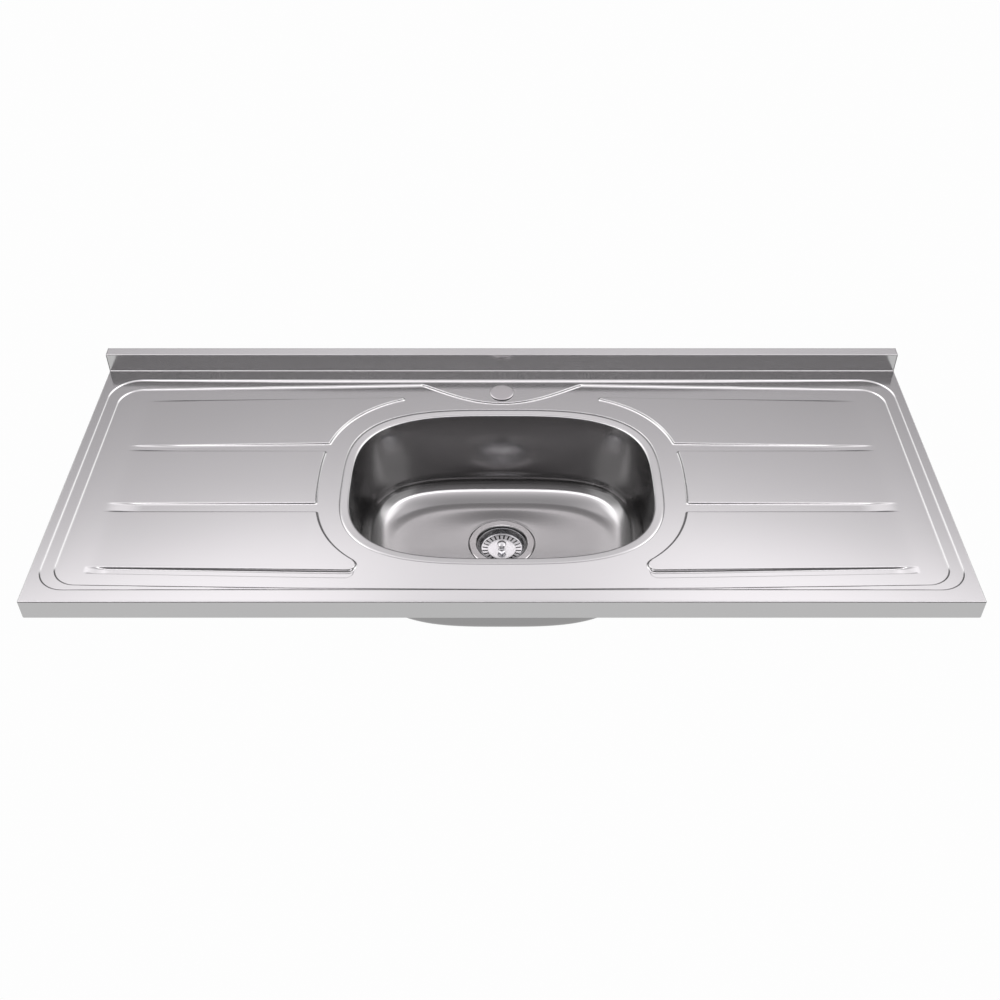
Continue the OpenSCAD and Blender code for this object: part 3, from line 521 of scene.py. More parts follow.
class Sheet:
    """Gathers points, normals and faces of one face of a sheet, then gives it a thickness."""

    def __init__(self):
        self.points, self.normals, self.faces, self.count = [], [], [], 0

    def add(self, points, normals, faces):
        self.points.append(np.asarray(points, float))
        self.normals.append(np.asarray(normals, float))
        self.faces.extend([i + self.count for i in face] for face in faces)
        self.count += len(points)

    def strip(self, rings, normals, closed):
        """Quads between rings that have the same number of points."""
        count = len(rings[0])
        faces = []
        for r in range(len(rings) - 1):
            for i in range(count if closed else count - 1):
                j = (i + 1) % count
                low, high = r * count, (r + 1) * count
                faces.append([low + i, low + j, high + j, high + i])
        self.add(np.vstack(rings), np.vstack(normals), faces)

    def merged(self):
        points, normals = np.vstack(self.points), np.vstack(self.normals)
        keys = np.round(points, MERGE_DIGITS)
        _, first, inverse = np.unique(keys, axis=0, return_index=True, return_inverse=True)
        inverse = inverse.ravel()
        total = np.zeros((len(first), 3))
        np.add.at(total, inverse, normals)
        total /= np.maximum(np.linalg.norm(total, axis=1, keepdims=True), TINY)
        faces = []
        for face in self.faces:
            new = []
            for i in face:
                k = int(inverse[i])
                if k not in new:
                    new.append(k)
            if len(new) > 2:
                faces.append(new)
        return points[first], total, faces

    def build(self, name, thickness):
        points, normals, faces = self.merged()
        faces = [outward(face, points, normals) for face in faces]
        count = len(points)
        under = [[count + i for i in reversed(face)] for face in faces]
        edges = {}
        for face in faces:
            for a, b in zip(face, face[1:] + face[:1]):
                edges[(a, b)] = edges.get((a, b), 0) + 1
        rim = [[b, a, count + a, count + b] for (a, b) in edges if (b, a) not in edges]
        both = np.vstack([points, points - normals * thickness])
        mesh = bpy.data.meshes.new(name)
        mesh.from_pydata((both * MM).tolist(), [], faces + under + rim)
        mesh.polygons.foreach_set("use_smooth", [True] * len(mesh.polygons))
        corner = [normals[i] for face in faces for i in face]
        corner += [-normals[i - count] for face in under for i in face]
        for face in rim:
            p = both[face]
            n = np.cross(p[2] - p[0], p[3] - p[1])
            corner += [n / max(np.linalg.norm(n), TINY)] * len(face)
        mesh.normals_split_custom_set(np.array(corner).tolist())
        return link(name, mesh)


def outward(face, points, normals):
    p = points[face]
    n = np.cross(p[1] - p[0], p[2] - p[0])
    if len(face) == 4:
        n = np.cross(p[2] - p[0], p[3] - p[1])
    return face if n @ normals[face].sum(axis=0) >= 0 else face[::-1]


def link(name, mesh):
    obj = bpy.data.objects.new(name, mesh)
    bpy.context.scene.collection.objects.link(obj)
    return obj


def dress(obj, body, material, slot, *nodes):
    """Gives a mesh its finish and its body, and hides the nodes of the CAD that it replaces; the slot is not
    used.
    """
    obj.data.materials.clear()
    obj.data.materials.append(material)
    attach(obj, body)
    if nodes:
        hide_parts(*nodes)


# The top


def rounded_box_path():
    """Points and outward directions along the left, front and right edges of the top."""
    r, step = CORNER_R, PATH_STEP
    sides = []
    ys = np.linspace(UPSTAND_Y - UPSTAND_FOLD_R, FRONT_Y + r, 1 + round((UPSTAND_Y - FRONT_Y) / step))
    for y in ys[:-1]:
        sides.append(((-HALF_W, y), (-1, 0), None))
    for t in np.radians(np.linspace(180, 270, FOLD_POINTS)):
        centre = (-HALF_W + r, FRONT_Y + r)
        sides.append((None, (math.cos(t), math.sin(t)), centre))
    for x in np.linspace(-HALF_W + r, HALF_W - r, 1 + round(2 * HALF_W / step))[1:-1]:
        sides.append(((x, FRONT_Y), (0, -1), None))
    for t in np.radians(np.linspace(270, 360, FOLD_POINTS)):
        centre = (HALF_W - r, FRONT_Y + r)
        sides.append((None, (math.cos(t), math.sin(t)), centre))
    for y in ys[:-1][::-1]:
        sides.append(((HALF_W, y), (1, 0), None))
    return sides


def path_ring(path, offset):
    """The path moved outwards by offset; past a corner's centre it turns to a mitre."""
    out = []
    for point, normal, centre in path:
        if centre is None:
            out.append((point[0] + normal[0] * offset, point[1] + normal[1] * offset))
        elif CORNER_R + offset > 0:
            reach = CORNER_R + offset
            out.append((centre[0] + normal[0] * reach, centre[1] + normal[1] * reach))
        else:
            out.append((math.copysign(HALF_W + offset, centre[0]), FRONT_Y - offset))
    return np.array(out)


def fold_profile():
    """Offsets, heights and normals from the flat rim over the fold to the hem."""
    rows = []
    r = RIM_FOLD_R
    for t in np.radians(np.linspace(90, 0, FOLD_POINTS)):
        rows.append((-r + r * math.cos(t), RIM_Z - r + r * math.sin(t), t))
    for t in np.radians(np.linspace(0, -90, FOLD_POINTS)):
        rows.append((-r + r * math.cos(t), r + r * math.sin(t), t))
    rows.append((-HEM_W, 0, -math.pi / 2))
    return rows


def deck_patch(sheet):
    """The flat part of the top, with the openings of the bowl and the tap."""
    path = rounded_box_path()
    rim = path_ring(path, -RIM_FOLD_R)
    back_y = rim[0][1]
    back_xs = np.linspace(rim[-1][0], rim[0][0], BACK_POINTS)
    back = np.column_stack([back_xs, np.full(BACK_POINTS, back_y)])
    boundary = np.vstack([rim, back[1:-1]])
    hole = even_superellipse(OPEN_A + EDGE_R, OPEN_B + EDGE_R, BOWL_N, BOWL_CY, HOLE_POINTS)
    tap = arc(0, TAP_Y, TAP_HOLE_R, 0, 360, TAP_STEPS)[:-1]
    points, edges = [], []
    for loop in (boundary, hole, tap):
        add_loop(points, edges, loop, math.inf)
    for loop in fold_lines(hole):
        add_loop(points, edges, loop, LINE_GAP)
    grid = deck_grid(back_y)
    points.extend(grid[signed_distance(grid, hole) > GRID_HOLE].tolist())
    flat, _, faces, *_ = delaunay_2d_cdt([tuple(p) for p in points], edges, [], 0, MEET_SLIP)
    flat = np.array([tuple(p) for p in flat])
    faces = np.array([tuple(f) for f in faces])
    middle = flat[faces].mean(axis=1)
    keep = (signed_distance(middle, hole) > 0) & (signed_distance(middle, tap) > 0)
    keep &= signed_distance(middle, boundary) < 0
    z = deck_height(flat)
    sheet.add(np.column_stack([flat, z]), deck_normals(flat), faces[keep].tolist())
    return path, hole


def add_loop(points, edges, loop, longest):
    """Adds a closed loop's points, and those of its edges that are shorter than longest."""
    start = len(points)
    points.extend(loop.tolist())
    gaps = np.linalg.norm(loop - np.roll(loop, -1, axis=0), axis=1)
    for i in range(len(loop)):
        if gaps[i] < longest:
            edges.append((start + i, start + (i + 1) % len(loop)))


def deck_grid(back_y):
    xs = np.arange(-HALF_W + GRID_X, HALF_W - GRID_SIDE, GRID_X)
    ys = np.arange(FRONT_Y + GRID_FRONT, back_y - GRID_BACK, GRID_Y)
    return np.array([(x, y) for x in xs for y in ys])


def fold_lines(hole):
    """Lines beside every fold, so that the faces of the mesh follow the press marks."""
    out = [grown(hole, d) for d in HOLE_LINES]
    for d in WELL_LINES:
        out.append(fold_line(WELL_EDGE, d, WELL_LINE_STEP))
        out.append(fold_line(WELL_FOOT, -d, WELL_LINE_STEP))
    left = [(panel, PANEL_LINES) for panel in LEFT_PANELS] + [(GROOVES[0], GROOVE_LINES)]
    for outline, distances in left:
        for d in distances:
            line = fold_line(outline, d, PANEL_LINE_STEP)
            out += [line, (line * [-1, 1])[::-1]]
    for d in LEDGE_LINES:
        out.append(fold_line(LEDGE, d, LEDGE_LINE_STEP))
    return out


def fold_line(outline, d, step):
    """An outline moved by d, without the points that land off the flat sheet or too near."""
    line = refined(grown(outline, d), step)
    line = line[np.abs(signed_distance(line, outline) - d) < LINE_SLIP]
    ok = (np.abs(line[:, 0]) < HALF_W - LINE_EDGE) & (line[:, 1] > FRONT_Y + LINE_EDGE)
    return line[ok & (line[:, 1] < UPSTAND_Y - UPSTAND_FOLD_R - LINE_BACK)]


def opening_edge(sheet, hole):
    """The sheet turned down round the opening of the bowl."""
    rings, normals = [], []
    inward = -hole_normals(hole)
    for t in np.radians(np.linspace(0, 90, EDGE_TURNS + 1)):
        ring = hole + inward * EDGE_R * math.sin(t)
        z = deck_height(hole) - EDGE_R * (1 - math.cos(t))
        rings.append(np.column_stack([ring, z]))
        normals.append(np.column_stack([inward * math.sin(t), np.full(len(hole), math.cos(t))]))
    sheet.strip(rings, normals, True)


def hole_normals(hole):
    along = np.roll(hole, -1, axis=0) - np.roll(hole, 1, axis=0)
    along /= np.linalg.norm(along, axis=1, keepdims=True)
    return np.column_stack([along[:, 1], -along[:, 0]])


def make_deck(material):
    sheet = Sheet()
    path, hole = deck_patch(sheet)
    directions = np.array([normal for _, normal, _ in path])
    rings, normals = [], []
    for offset, z, t in fold_profile():
        ring = path_ring(path, offset)
        rings.append(np.column_stack([ring, np.full(len(ring), z)]))
        flat = directions * math.cos(t)
        normals.append(np.column_stack([flat, np.full(len(ring), math.sin(t))]))
    sheet.strip(rings, normals, False)
    opening_edge(sheet, hole)
    dress(sheet.build("deck", SHEET_T), "sink", material, "deck_steel", "sink_top")


def upstand_profile():
    """Points and normal angles from the deck up over the upstand and down to the hem."""
    r, inner = TOP_FOLD_R, UPSTAND_FOLD_R
    front_z = UPSTAND_Z - (UPSTAND_T - 2 * r) * math.tan(TOP_LEAN)
    lean = 90 + math.degrees(TOP_LEAN)
    rows = []
    for t in np.radians(np.linspace(0, 90, FOLD_POINTS)):
        y = UPSTAND_Y - inner + inner * math.sin(t)
        z = RIM_Z + inner - inner * math.cos(t)
        rows.append((y, z, -math.sin(t), math.cos(t)))
    for t in np.radians(np.linspace(180, lean, FOLD_POINTS)):
        y = UPSTAND_Y + r + r * math.cos(t)
        z = front_z - r + r * math.sin(t)
        rows.append((y, z, math.cos(t), math.sin(t)))
    for t in np.radians(np.linspace(lean, 0, FOLD_POINTS)):
        y = BACK_Y - r + r * math.cos(t)
        z = UPSTAND_Z - r + r * math.sin(t)
        rows.append((y, z, math.cos(t), math.sin(t)))
    for t in np.radians(np.linspace(0, -90, FOLD_POINTS)):
        y = BACK_Y - r + r * math.cos(t)
        z = r + r * math.sin(t)
        rows.append((y, z, math.cos(t), math.sin(t)))
    rows.append((BACK_Y - HEM_W, 0, 0, -1))
    return rows


def make_upstand(material):
    sheet = Sheet()
    xs = np.linspace(-HALF_W, HALF_W, UPSTAND_POINTS)
    rings, normals = [], []
    for y, z, ny, nz in upstand_profile():
        rings.append(np.column_stack([xs, np.full(len(xs), y), np.full(len(xs), z)]))
        normals.append(np.tile([0, ny, nz], (len(xs), 1)))
    sheet.strip(rings, normals, False)
    dress(sheet.build("upstand", SHEET_T), "sink", material, "deck_steel")


def make_end_plates(material):
    """The two ends of the upstand, and of the edge below it."""
    bottom_rows = FOLD_POINTS + 1
    rows = upstand_profile()[:-bottom_rows]
    outline = [(UPSTAND_Y - UPSTAND_FOLD_R, 0)] + [row[:2] for row in rows] + [(BACK_Y, 0)]
    for side, name in ((-1, "left_end_plate"), (1, "right_end_plate")):
        sheet = Sheet()
        points = [(side * (HALF_W - END_PLATE_IN), y, z) for y, z in outline]
        sheet.add(points, [(side, 0, 0)] * len(points), [list(range(len(points)))])
        dress(sheet.build(name, SHEET_T), "sink", material, "deck_steel")


# The bowl


def wall_in(depth, r):
    """How far the wall stands inside the mouth at a depth, with r for the curve at its foot."""
    start = EDGE_DEPTH - r
    below = np.maximum(depth - start, 0)
    turn = r - np.sqrt(np.maximum(r**2 - below**2, 0))
    return BOWL_DRAFT * np.clip(depth / start, 0, 1) + turn


def bowl_ring(depth, count):
    side, front = wall_in(depth, BOTTOM_R), wall_in(depth, BOTTOM_R_FRONT)
    b = (BOWL_D - side - front) / 2
    cy = BOWL_CY + (front - side) / 2
    ring = superellipse(BOWL_W / 2 - side, b, BOWL_N, cy, count)
    return np.column_stack([ring, np.full(count, RIM_Z - depth)])


def flange_ring(out, depth, count):
    ring = superellipse(BOWL_W / 2 + out, BOWL_D / 2 + out, BOWL_N, BOWL_CY, count)
    return np.column_stack([ring, np.full(count, RIM_Z - depth)])


# Steps outwards from the seat and drops, from the bowl floor to the hole of the waste
SEAT_EDGE = ((0.6, 0.35), (0.3, 1.2), (0, SEAT_DEPTH), (WASTE_HOLE_R - SEAT_R, SEAT_DEPTH))
# The line between the flange and the sheet of the top: steps outwards and drops
FLANGE_GROOVE = ((1.2, 0.7), (0.2, 0.75), (-0.5, 0.65), (-0.9, 0.25), (-1.5, 0))


def ring_normals(rings):
    """Normals of a surface through rings, from the differences of its points."""
    grid = np.array(rings)
    along = np.roll(grid, -1, axis=1) - np.roll(grid, 1, axis=1)
    across = np.gradient(grid, axis=0)
    n = np.cross(along, across)
    n /= np.maximum(np.linalg.norm(n, axis=2, keepdims=True), TINY)
    return n


def make_bowl(material, flange_material):
    count = BOWL_POINTS
    lap = WELL_DEPTH + WELL_FALL + SHEET_T
    lip_top = lap + FLANGE_FALL
    rings = [flange_ring(FLANGE_W + LAP_W, lap, count)]
    for out, drop in FLANGE_GROOVE:
        rings.append(flange_ring(FLANGE_W + out, lap + drop, count))
    first = FLANGE_W + FLANGE_GROOVE[-1][0]
    for share in np.linspace(0, 1, FLANGE_POINTS)[1:-1]:
        out = first + (LIP_R - first) * share
        rings.append(flange_ring(out, lap + FLANGE_FALL * share, count))
    flange_end = len(rings) - 1
    for t in np.radians(np.linspace(0, 90, LIP_POINTS)):
        rings.append(flange_ring(LIP_R * (1 - math.sin(t)), lip_top + LIP_R * (1 - math.cos(t)), count))
    lip_end = len(rings) - 1
    for depth in np.linspace(lip_top + LIP_R, EDGE_DEPTH - BOTTOM_R, WALL_POINTS)[1:]:
        rings.append(bowl_ring(depth, count))
    for t in np.radians(np.linspace(0, 90, BOTTOM_POINTS))[1:]:
        rings.append(bowl_ring(EDGE_DEPTH - BOTTOM_R + BOTTOM_R * math.sin(t), count))
    floor = rings[-1]
    angle = np.arctan2(floor[:, 1] - WASTE_Y, floor[:, 0])
    circle = np.column_stack([np.cos(angle), np.sin(angle), np.zeros(count)])
    centre = np.array([0, WASTE_Y, BOWL_FLOOR_Z])
    edge = centre + circle * (SEAT_R + SEAT_MARGIN)
    for share in np.linspace(0, 1, FLOOR_RINGS + 1)[1:]:
        ring = floor + (edge - floor) * share
        ring[:, 2] = floor[:, 2] + (edge[:, 2] - floor[:, 2]) * ease(share)
        rings.append(ring)
    for out, drop in SEAT_EDGE:
        rings.append(centre + circle * (SEAT_R + out) - [0, 0, drop])
    normals = ring_normals(rings)
    if normals[flange_end, 0, 2] < 0:
        normals = -normals
    flange, shell = Sheet(), Sheet()
    flange.strip(rings[: lip_end + 1], list(normals[: lip_end + 1]), True)
    shell.strip(rings[lip_end:], list(normals[lip_end:]), True)
    dress(flange.build("bowl_flange", SHEET_T), "sink", flange_material, "bowl_steel")
    # The shell gets the darker steel of painted shade, and the flange of the same sheet gets the top's
    # steel.
    dress(shell.build("bowl_shell", SHEET_T), "sink", material, "bowl_steel", "bowl")


# The basket of the strainer

SLOTS = 24
SLOT_W = 2.2
SLOT_IN_R = 20.9
SLOT_OUT_R = 29.0
BASKET_T = 0.9
BAR_PARTS = 3
WALL_RINGS = 13
# Radius and depth below the rim, from the rim over the wall and the slots to the middle
BASKET_WALL = (
    (35.4, 1.2), (35.2, 0.5), (34.9, 0.1), (34.5, 0.02), (34.1, 0.2), (33.8, 0.7), (33.5, 1.4),
    (33.2, 2.4), (33.0, 3.4), (32.6, 5), (32.2, 7), (31.8, 8.3), (31.2, 9.0), (30.5, 9.35),
    (29.8, 9.5), (SLOT_OUT_R, 9.6), (27, 9.8), (25, 9.98), (23, 10.16), (SLOT_IN_R, 10.35),
    (20.4, 10.45), (19.9, 10.5), (19.4, 10.4), (14, 10.35),
    (5.4, 10.35), (5.1, 10.1), (5, 9.7), (5, 6.6), (4.8, 6.4), (3.6, 6.4),
)


def basket_ring(r, z):
    """Points round the axis; the first two of every slot's points stand at its long edges."""
    pitch = 2 * math.pi / SLOTS
    half = math.asin(SLOT_W / 2 / min(max(r, SLOT_IN_R), SLOT_OUT_R))
    bar = (pitch - 2 * half) / BAR_PARTS
    turns = [-half] + [half + bar * k for k in range(BAR_PARTS)]
    angles = np.array([(i + 0.5) * pitch + turn for i in range(SLOTS) for turn in turns])
    flat = np.column_stack([r * np.cos(angles), WASTE_Y + r * np.sin(angles)])
    return np.column_stack([flat, np.full(len(angles), z)]), angles


def make_basket(material, shaded_wall_material):
    top = node_box("basket")[1][2]
    path = np.array([(r, top - drop) for r, drop in BASKET_WALL])
    along = np.gradient(path, axis=0)
    across = np.column_stack([along[:, 1], -along[:, 0]])
    across /= np.linalg.norm(across, axis=1, keepdims=True)
    rings, normals = [], []
    for (r, z), (nr, nz) in zip(path, across):
        ring, angles = basket_ring(r, z)
        rings.append(ring)
        normals.append(np.column_stack([nr * np.cos(angles), nr * np.sin(angles), np.full(len(angles), nz)]))
    wall, plate = Sheet(), Sheet()
    wall.strip(rings[: WALL_RINGS + 1], normals[: WALL_RINGS + 1], True)
    # The side gets the darker finish of painted shade.
    dress(wall.build("basket_wall", BASKET_T), "basket", shaded_wall_material, "chrome")
    rings, normals, path = rings[WALL_RINGS:], normals[WALL_RINGS:], path[WALL_RINGS:]
    count = len(rings[0])
    faces = []
    for k in range(len(path) - 1):
        open_here = path[k][0] <= SLOT_OUT_R and path[k + 1][0] >= SLOT_IN_R
        for i in range(count):
            if open_here and i % (BAR_PARTS + 1) == 0:
                continue
            j = (i + 1) % count
            faces.append([k * count + i, k * count + j, (k + 1) * count + j, (k + 1) * count + i])
    plate.add(np.vstack(rings), np.vstack(normals), faces)
    dress(plate.build("basket_plate", BASKET_T), "basket", material, "chrome", "basket")


# Finishes

# Shares by which a colour gets darker and lighter in its pattern
TINT = 0.02
STRONG_TINT = 0.12
# Density of the patterns along each axis
CLOUD_GRAIN = (6, 9, 9)
SHEET_GRAIN = (14, 2600, 2600)
EVEN_GRAIN = (900, 900, 900)
COVER_GRAIN = (1500, 60, 1500)
ZINC_GRAIN = (160, 160, 160)
POLISH_GRAIN = (300, 300, 300)
# Marks of polishing, and spreads of the roughness
MARK_STRENGTH = 0.05
MARK_DEPTH = 0.00001
SHEET_SPREAD = 0.02
SATIN_SPREAD = 0.05
POLISH_SPREAD = 0.3
ZINC_METAL = 0.9
ZINC_ROUGH = (0.38, 0.56)
MATTE_SPREAD = 0.08
MATTE_STRENGTH = 0.6
# Colours of the large sheets, and the darker colour painted as shade on the strainer within its cup
DECK_COLOUR = (0.692, 0.688, 0.690)
# The bowl's colour is darker than the top's: painted shade inside the bowl, on steel that is the same.
SHADED_BOWL_COLOUR = (0.430, 0.426, 0.426)
CUP_SHADE_COLOUR = (0.22, 0.22, 0.22)
CUP_R = 38.5
CUP_SHADE_EDGE = 0.6
# Soft edges: their width, and the most of it as a share of a solid's thinnest side
BEVEL_W = 0.25
BEVEL_SHARE = 0.2
BEVEL_STEPS = 2
BEVEL_ANGLE = 35


def new_material(name):
    mat = bpy.data.materials.new(name)
    mat.use_nodes = True
    nodes = mat.node_tree.nodes
    nodes.clear()
    shader = nodes.new("ShaderNodeBsdfPrincipled")
    out = nodes.new("ShaderNodeOutputMaterial")
    mat.node_tree.links.new(shader.outputs[0], out.inputs[0])
    return mat, shader


class Graph:
    """Short calls for the nodes of one material or of the world."""

    def __init__(self, tree):
        self.nodes, self.links = tree.nodes, tree.links

    def add(self, kind, **inputs):
        node = self.nodes.new(kind)
        for key, value in inputs.items():
            self.put(node.inputs[key], value)
        return node

    def put(self, socket, value):
        if isinstance(value, bpy.types.NodeSocket):
            self.links.new(value, socket)
        else:
            socket.default_value = value

    def place(self, scale):
        coords = self.nodes.new("ShaderNodeTexCoord")
        mapping = self.add("ShaderNodeMapping", Scale=scale)
        self.put(mapping.inputs["Vector"], coords.outputs["Object"])
        return mapping.outputs["Vector"]

    def noise(self, scale, detail, roughness=0.5):
        node = self.add("ShaderNodeTexNoise", Vector=self.place(scale), Scale=1.0)
        node.inputs["Detail"].default_value = detail
        node.inputs["Roughness"].default_value = roughness
        return node.outputs["Fac"]

    def span(self, value, low, high):
        node = self.add("ShaderNodeMapRange")
        self.put(node.inputs["Value"], value)
        node.inputs["To Min"].default_value = low
        node.inputs["To Max"].default_value = high
        return node.outputs["Result"]

    def smooth(self, value, low, high):
        """Share that goes smoothly from 0 to 1 while the value goes from low to high."""
        node = self.add("ShaderNodeMapRange")
        node.interpolation_type = "SMOOTHSTEP"
        self.put(node.inputs["Value"], value)
        node.inputs["From Min"].default_value = low
        node.inputs["From Max"].default_value = high
        return node.outputs["Result"]

    def mix(self, share, a, b):
        node = self.nodes.new("ShaderNodeMix")
        node.data_type = "RGBA"
        self.put(node.inputs["Factor"], share)
        self.put(node.inputs["A"], a)
        self.put(node.inputs["B"], b)
        return node.outputs["Result"]

    def math(self, operation, a, b=0.0):
        node = self.nodes.new("ShaderNodeMath")
        node.operation = operation
        self.put(node.inputs[0], a)
        self.put(node.inputs[1], b)
        return node.outputs[0]

    def vector(self, operation, a, b):
        node = self.nodes.new("ShaderNodeVectorMath")
        node.operation = operation
        self.put(node.inputs[0], a)
        self.put(node.inputs[1], b)
        return node.outputs[0]

    def length(self, vector):
        node = self.nodes.new("ShaderNodeVectorMath")
        node.operation = "LENGTH"
        self.put(node.inputs[0], vector)
        return node.outputs["Value"]

    def bump(self, height, strength, distance):
        node = self.add("ShaderNodeBump", Height=height, Strength=strength, Distance=distance)
        return node.outputs["Normal"]

    def either(self, share, first, second):
        """The first shader where the share is 0, and the second where it is 1."""
        node = self.nodes.new("ShaderNodeMixShader")
        self.put(node.inputs[0], share)
        self.put(node.inputs[1], first)
        self.put(node.inputs[2], second)
        return node.outputs[0]


def rgba(colour):
    return (*colour, 1.0)


def tinted(graph, colour, spread, noise):
    dark = rgba([c * (1 - spread) for c in colour])
    light = rgba([min(1, c * (1 + spread)) for c in colour])
    return graph.mix(noise, dark, light)


def brushed_steel(name, colour, rough, grain, spread=SATIN_SPREAD, smear=0.0):
    """Satin steel with fine polishing marks. grain is how dense they are along each axis."""
    mat, shader = new_material(name)
    g = Graph(mat.node_tree)
    marks = g.noise(grain, detail=4, roughness=0.65)
    cloud = g.noise(CLOUD_GRAIN, detail=2)
    g.put(shader.inputs["Base Color"], tinted(g, colour, TINT, cloud))
    shader.inputs["Metallic"].default_value = 1.0
    shader.inputs["Anisotropic"].default_value = smear
    g.put(shader.inputs["Roughness"], g.span(marks, rough - spread, rough + spread))
    g.put(shader.inputs["Normal"], g.bump(marks, MARK_STRENGTH, MARK_DEPTH))
    return mat


def galvanised(name, colour):
    """Zinc with its pattern of crystals."""
    mat, shader = new_material(name)
    g = Graph(mat.node_tree)
    cells = g.add("ShaderNodeTexVoronoi", Vector=g.place(ZINC_GRAIN), Scale=1.0)
    tone = g.add("ShaderNodeSeparateColor", Color=cells.outputs["Color"])
    g.put(shader.inputs["Base Color"], tinted(g, colour, STRONG_TINT, tone.outputs[0]))
    shader.inputs["Metallic"].default_value = ZINC_METAL
    g.put(shader.inputs["Roughness"], g.span(tone.outputs[1], *ZINC_ROUGH))
    return mat


def polished(name, colour, rough):
    mat, shader = new_material(name)
    g = Graph(mat.node_tree)
    cloud = g.noise(POLISH_GRAIN, detail=3)
    g.put(shader.inputs["Base Color"], tinted(g, colour, TINT, cloud))
    shader.inputs["Metallic"].default_value = 1.0
    level = g.span(cloud, rough * (1 - POLISH_SPREAD), rough * (1 + POLISH_SPREAD))
    g.put(shader.inputs["Roughness"], level)
    return mat


def matte(name, colour, rough, grain, depth):
    """Rubber, fibre, soft plastic and bitumen pads: a matte skin with a fine grain."""
    mat, shader = new_material(name)
    g = Graph(mat.node_tree)
    skin = g.noise((grain, grain, grain), detail=4)
    g.put(shader.inputs["Base Color"], tinted(g, colour, STRONG_TINT, skin))
    g.put(shader.inputs["Roughness"], g.span(skin, rough - MATTE_SPREAD, rough + MATTE_SPREAD))
    g.put(shader.inputs["Normal"], g.bump(skin, MATTE_STRENGTH, depth))
    return mat


def painted_cup_shade(mat, radius, colour):
    """The colour goes over to a darker one within a radius round the axis of the waste: painted shade in the
    cup.
    """
    g = Graph(mat.node_tree)
    coords = g.nodes.new("ShaderNodeTexCoord")
    flat = g.add("ShaderNodeMapping", Scale=(1, 1, 0), Location=(0, -WASTE_Y * MM, 0))
    g.put(flat.inputs["Vector"], coords.outputs["Object"])
    share = g.smooth(g.length(flat.outputs["Vector"]), (radius - CUP_SHADE_EDGE) * MM, radius * MM)
    base = next(n for n in g.nodes if n.type == "BSDF_PRINCIPLED").inputs["Base Color"]
    g.put(base, g.mix(share, rgba(colour), base.links[0].from_socket))
    return mat


DECK_STEEL = brushed_steel("satin_sheet", DECK_COLOUR, 0.155, SHEET_GRAIN, SHEET_SPREAD)
# Drawn steel smeared along its grain; its darker colour is painted shade inside the bowl.
SHADED_BOWL_STEEL = brushed_steel("drawn_sheet_painted_shade", SHADED_BOWL_COLOUR, 0.16, EVEN_GRAIN, SHEET_SPREAD, smear=0.6)
TURNED_STEEL_CUP_SHADE = brushed_steel("turned_steel_cup_shade", (0.50, 0.49, 0.49), 0.2, EVEN_GRAIN)
# The basket's side is darker than its chrome plate: painted shade of the deep cup.
SHADED_BASKET_SIDE = polished("basket_side_painted_shade", (0.36, 0.36, 0.37), 0.2)
FINISHES = {
    "cover_steel": brushed_steel("cover_sheet", (0.66, 0.64, 0.65), 0.32, COVER_GRAIN),
    # The strainer's turned steel is painted darker within the cup, as shade.
    "strainer_steel": painted_cup_shade(TURNED_STEEL_CUP_SHADE, CUP_R, CUP_SHADE_COLOUR),
    "bright_steel": polished("bright_zinc", (0.72, 0.73, 0.76), 0.24),
    "chrome": polished("chrome_plate", (0.74, 0.74, 0.75), 0.13),
    "galvanised": galvanised("galvanised_sheet", (0.55, 0.57, 0.59)),
    "brass": polished("turned_brass", (0.72, 0.56, 0.28), 0.28),
    "rubber": matte("black_rubber", (0.03, 0.03, 0.032), 0.7, 900, 0.0001),
    "sound_pad": matte("bitumen_pad", (0.055, 0.055, 0.058), 0.85, 260, 0.0006),
    "fibre": matte("pressed_fibre", (0.52, 0.43, 0.30), 0.8, 700, 0.0001),
    "soft_plastic": matte("soft_plastic", (0.05, 0.05, 0.055), 0.5, 900, 0.00005),
}


def dress_cad_nodes():
    """Finishes and soft edges for the nodes whose slot has a finish in the table."""
    slots = {row["node"]: row["material_slot"] for row in frame["record"]["subparts"]}
    for name, obj in frame["nodes"].items():
        if slots[name] not in FINISHES:
            continue
        obj.data.materials.clear()
        obj.data.materials.append(FINISHES[slots[name]])
        obj.data.polygons.foreach_set("use_smooth", [True] * len(obj.data.polygons))
        lo, hi = node_box(name)
        bevel = obj.modifiers.new("soft_edges", "BEVEL")
        bevel.width = min(BEVEL_W, BEVEL_SHARE * min(hi - lo)) * MM
        bevel.segments = BEVEL_STEPS
        bevel.limit_method = "ANGLE"
        bevel.angle_limit = math.radians(BEVEL_ANGLE)
        bevel.harden_normals = True


# Stage

# The floor, with lengths in metres, and what the camera sees of the floor and the studio
FLOOR_HALF_W = 30.0
FLOOR_GAP = 0.0005
FLOOR_COLOUR = (0.85, 0.85, 0.85)
FLOOR_ROUGH = 0.9
BACKDROP = (0.985, 0.985, 0.985)
# Brightness of the floor in the metal, near the sink and far from it, and where it changes
FLOOR_IN_METAL = 0.69
FAR_FLOOR_IN_METAL = 0.15
FLOOR_FADE_FROM = 0.9
FLOOR_FADE_TO = 1.5
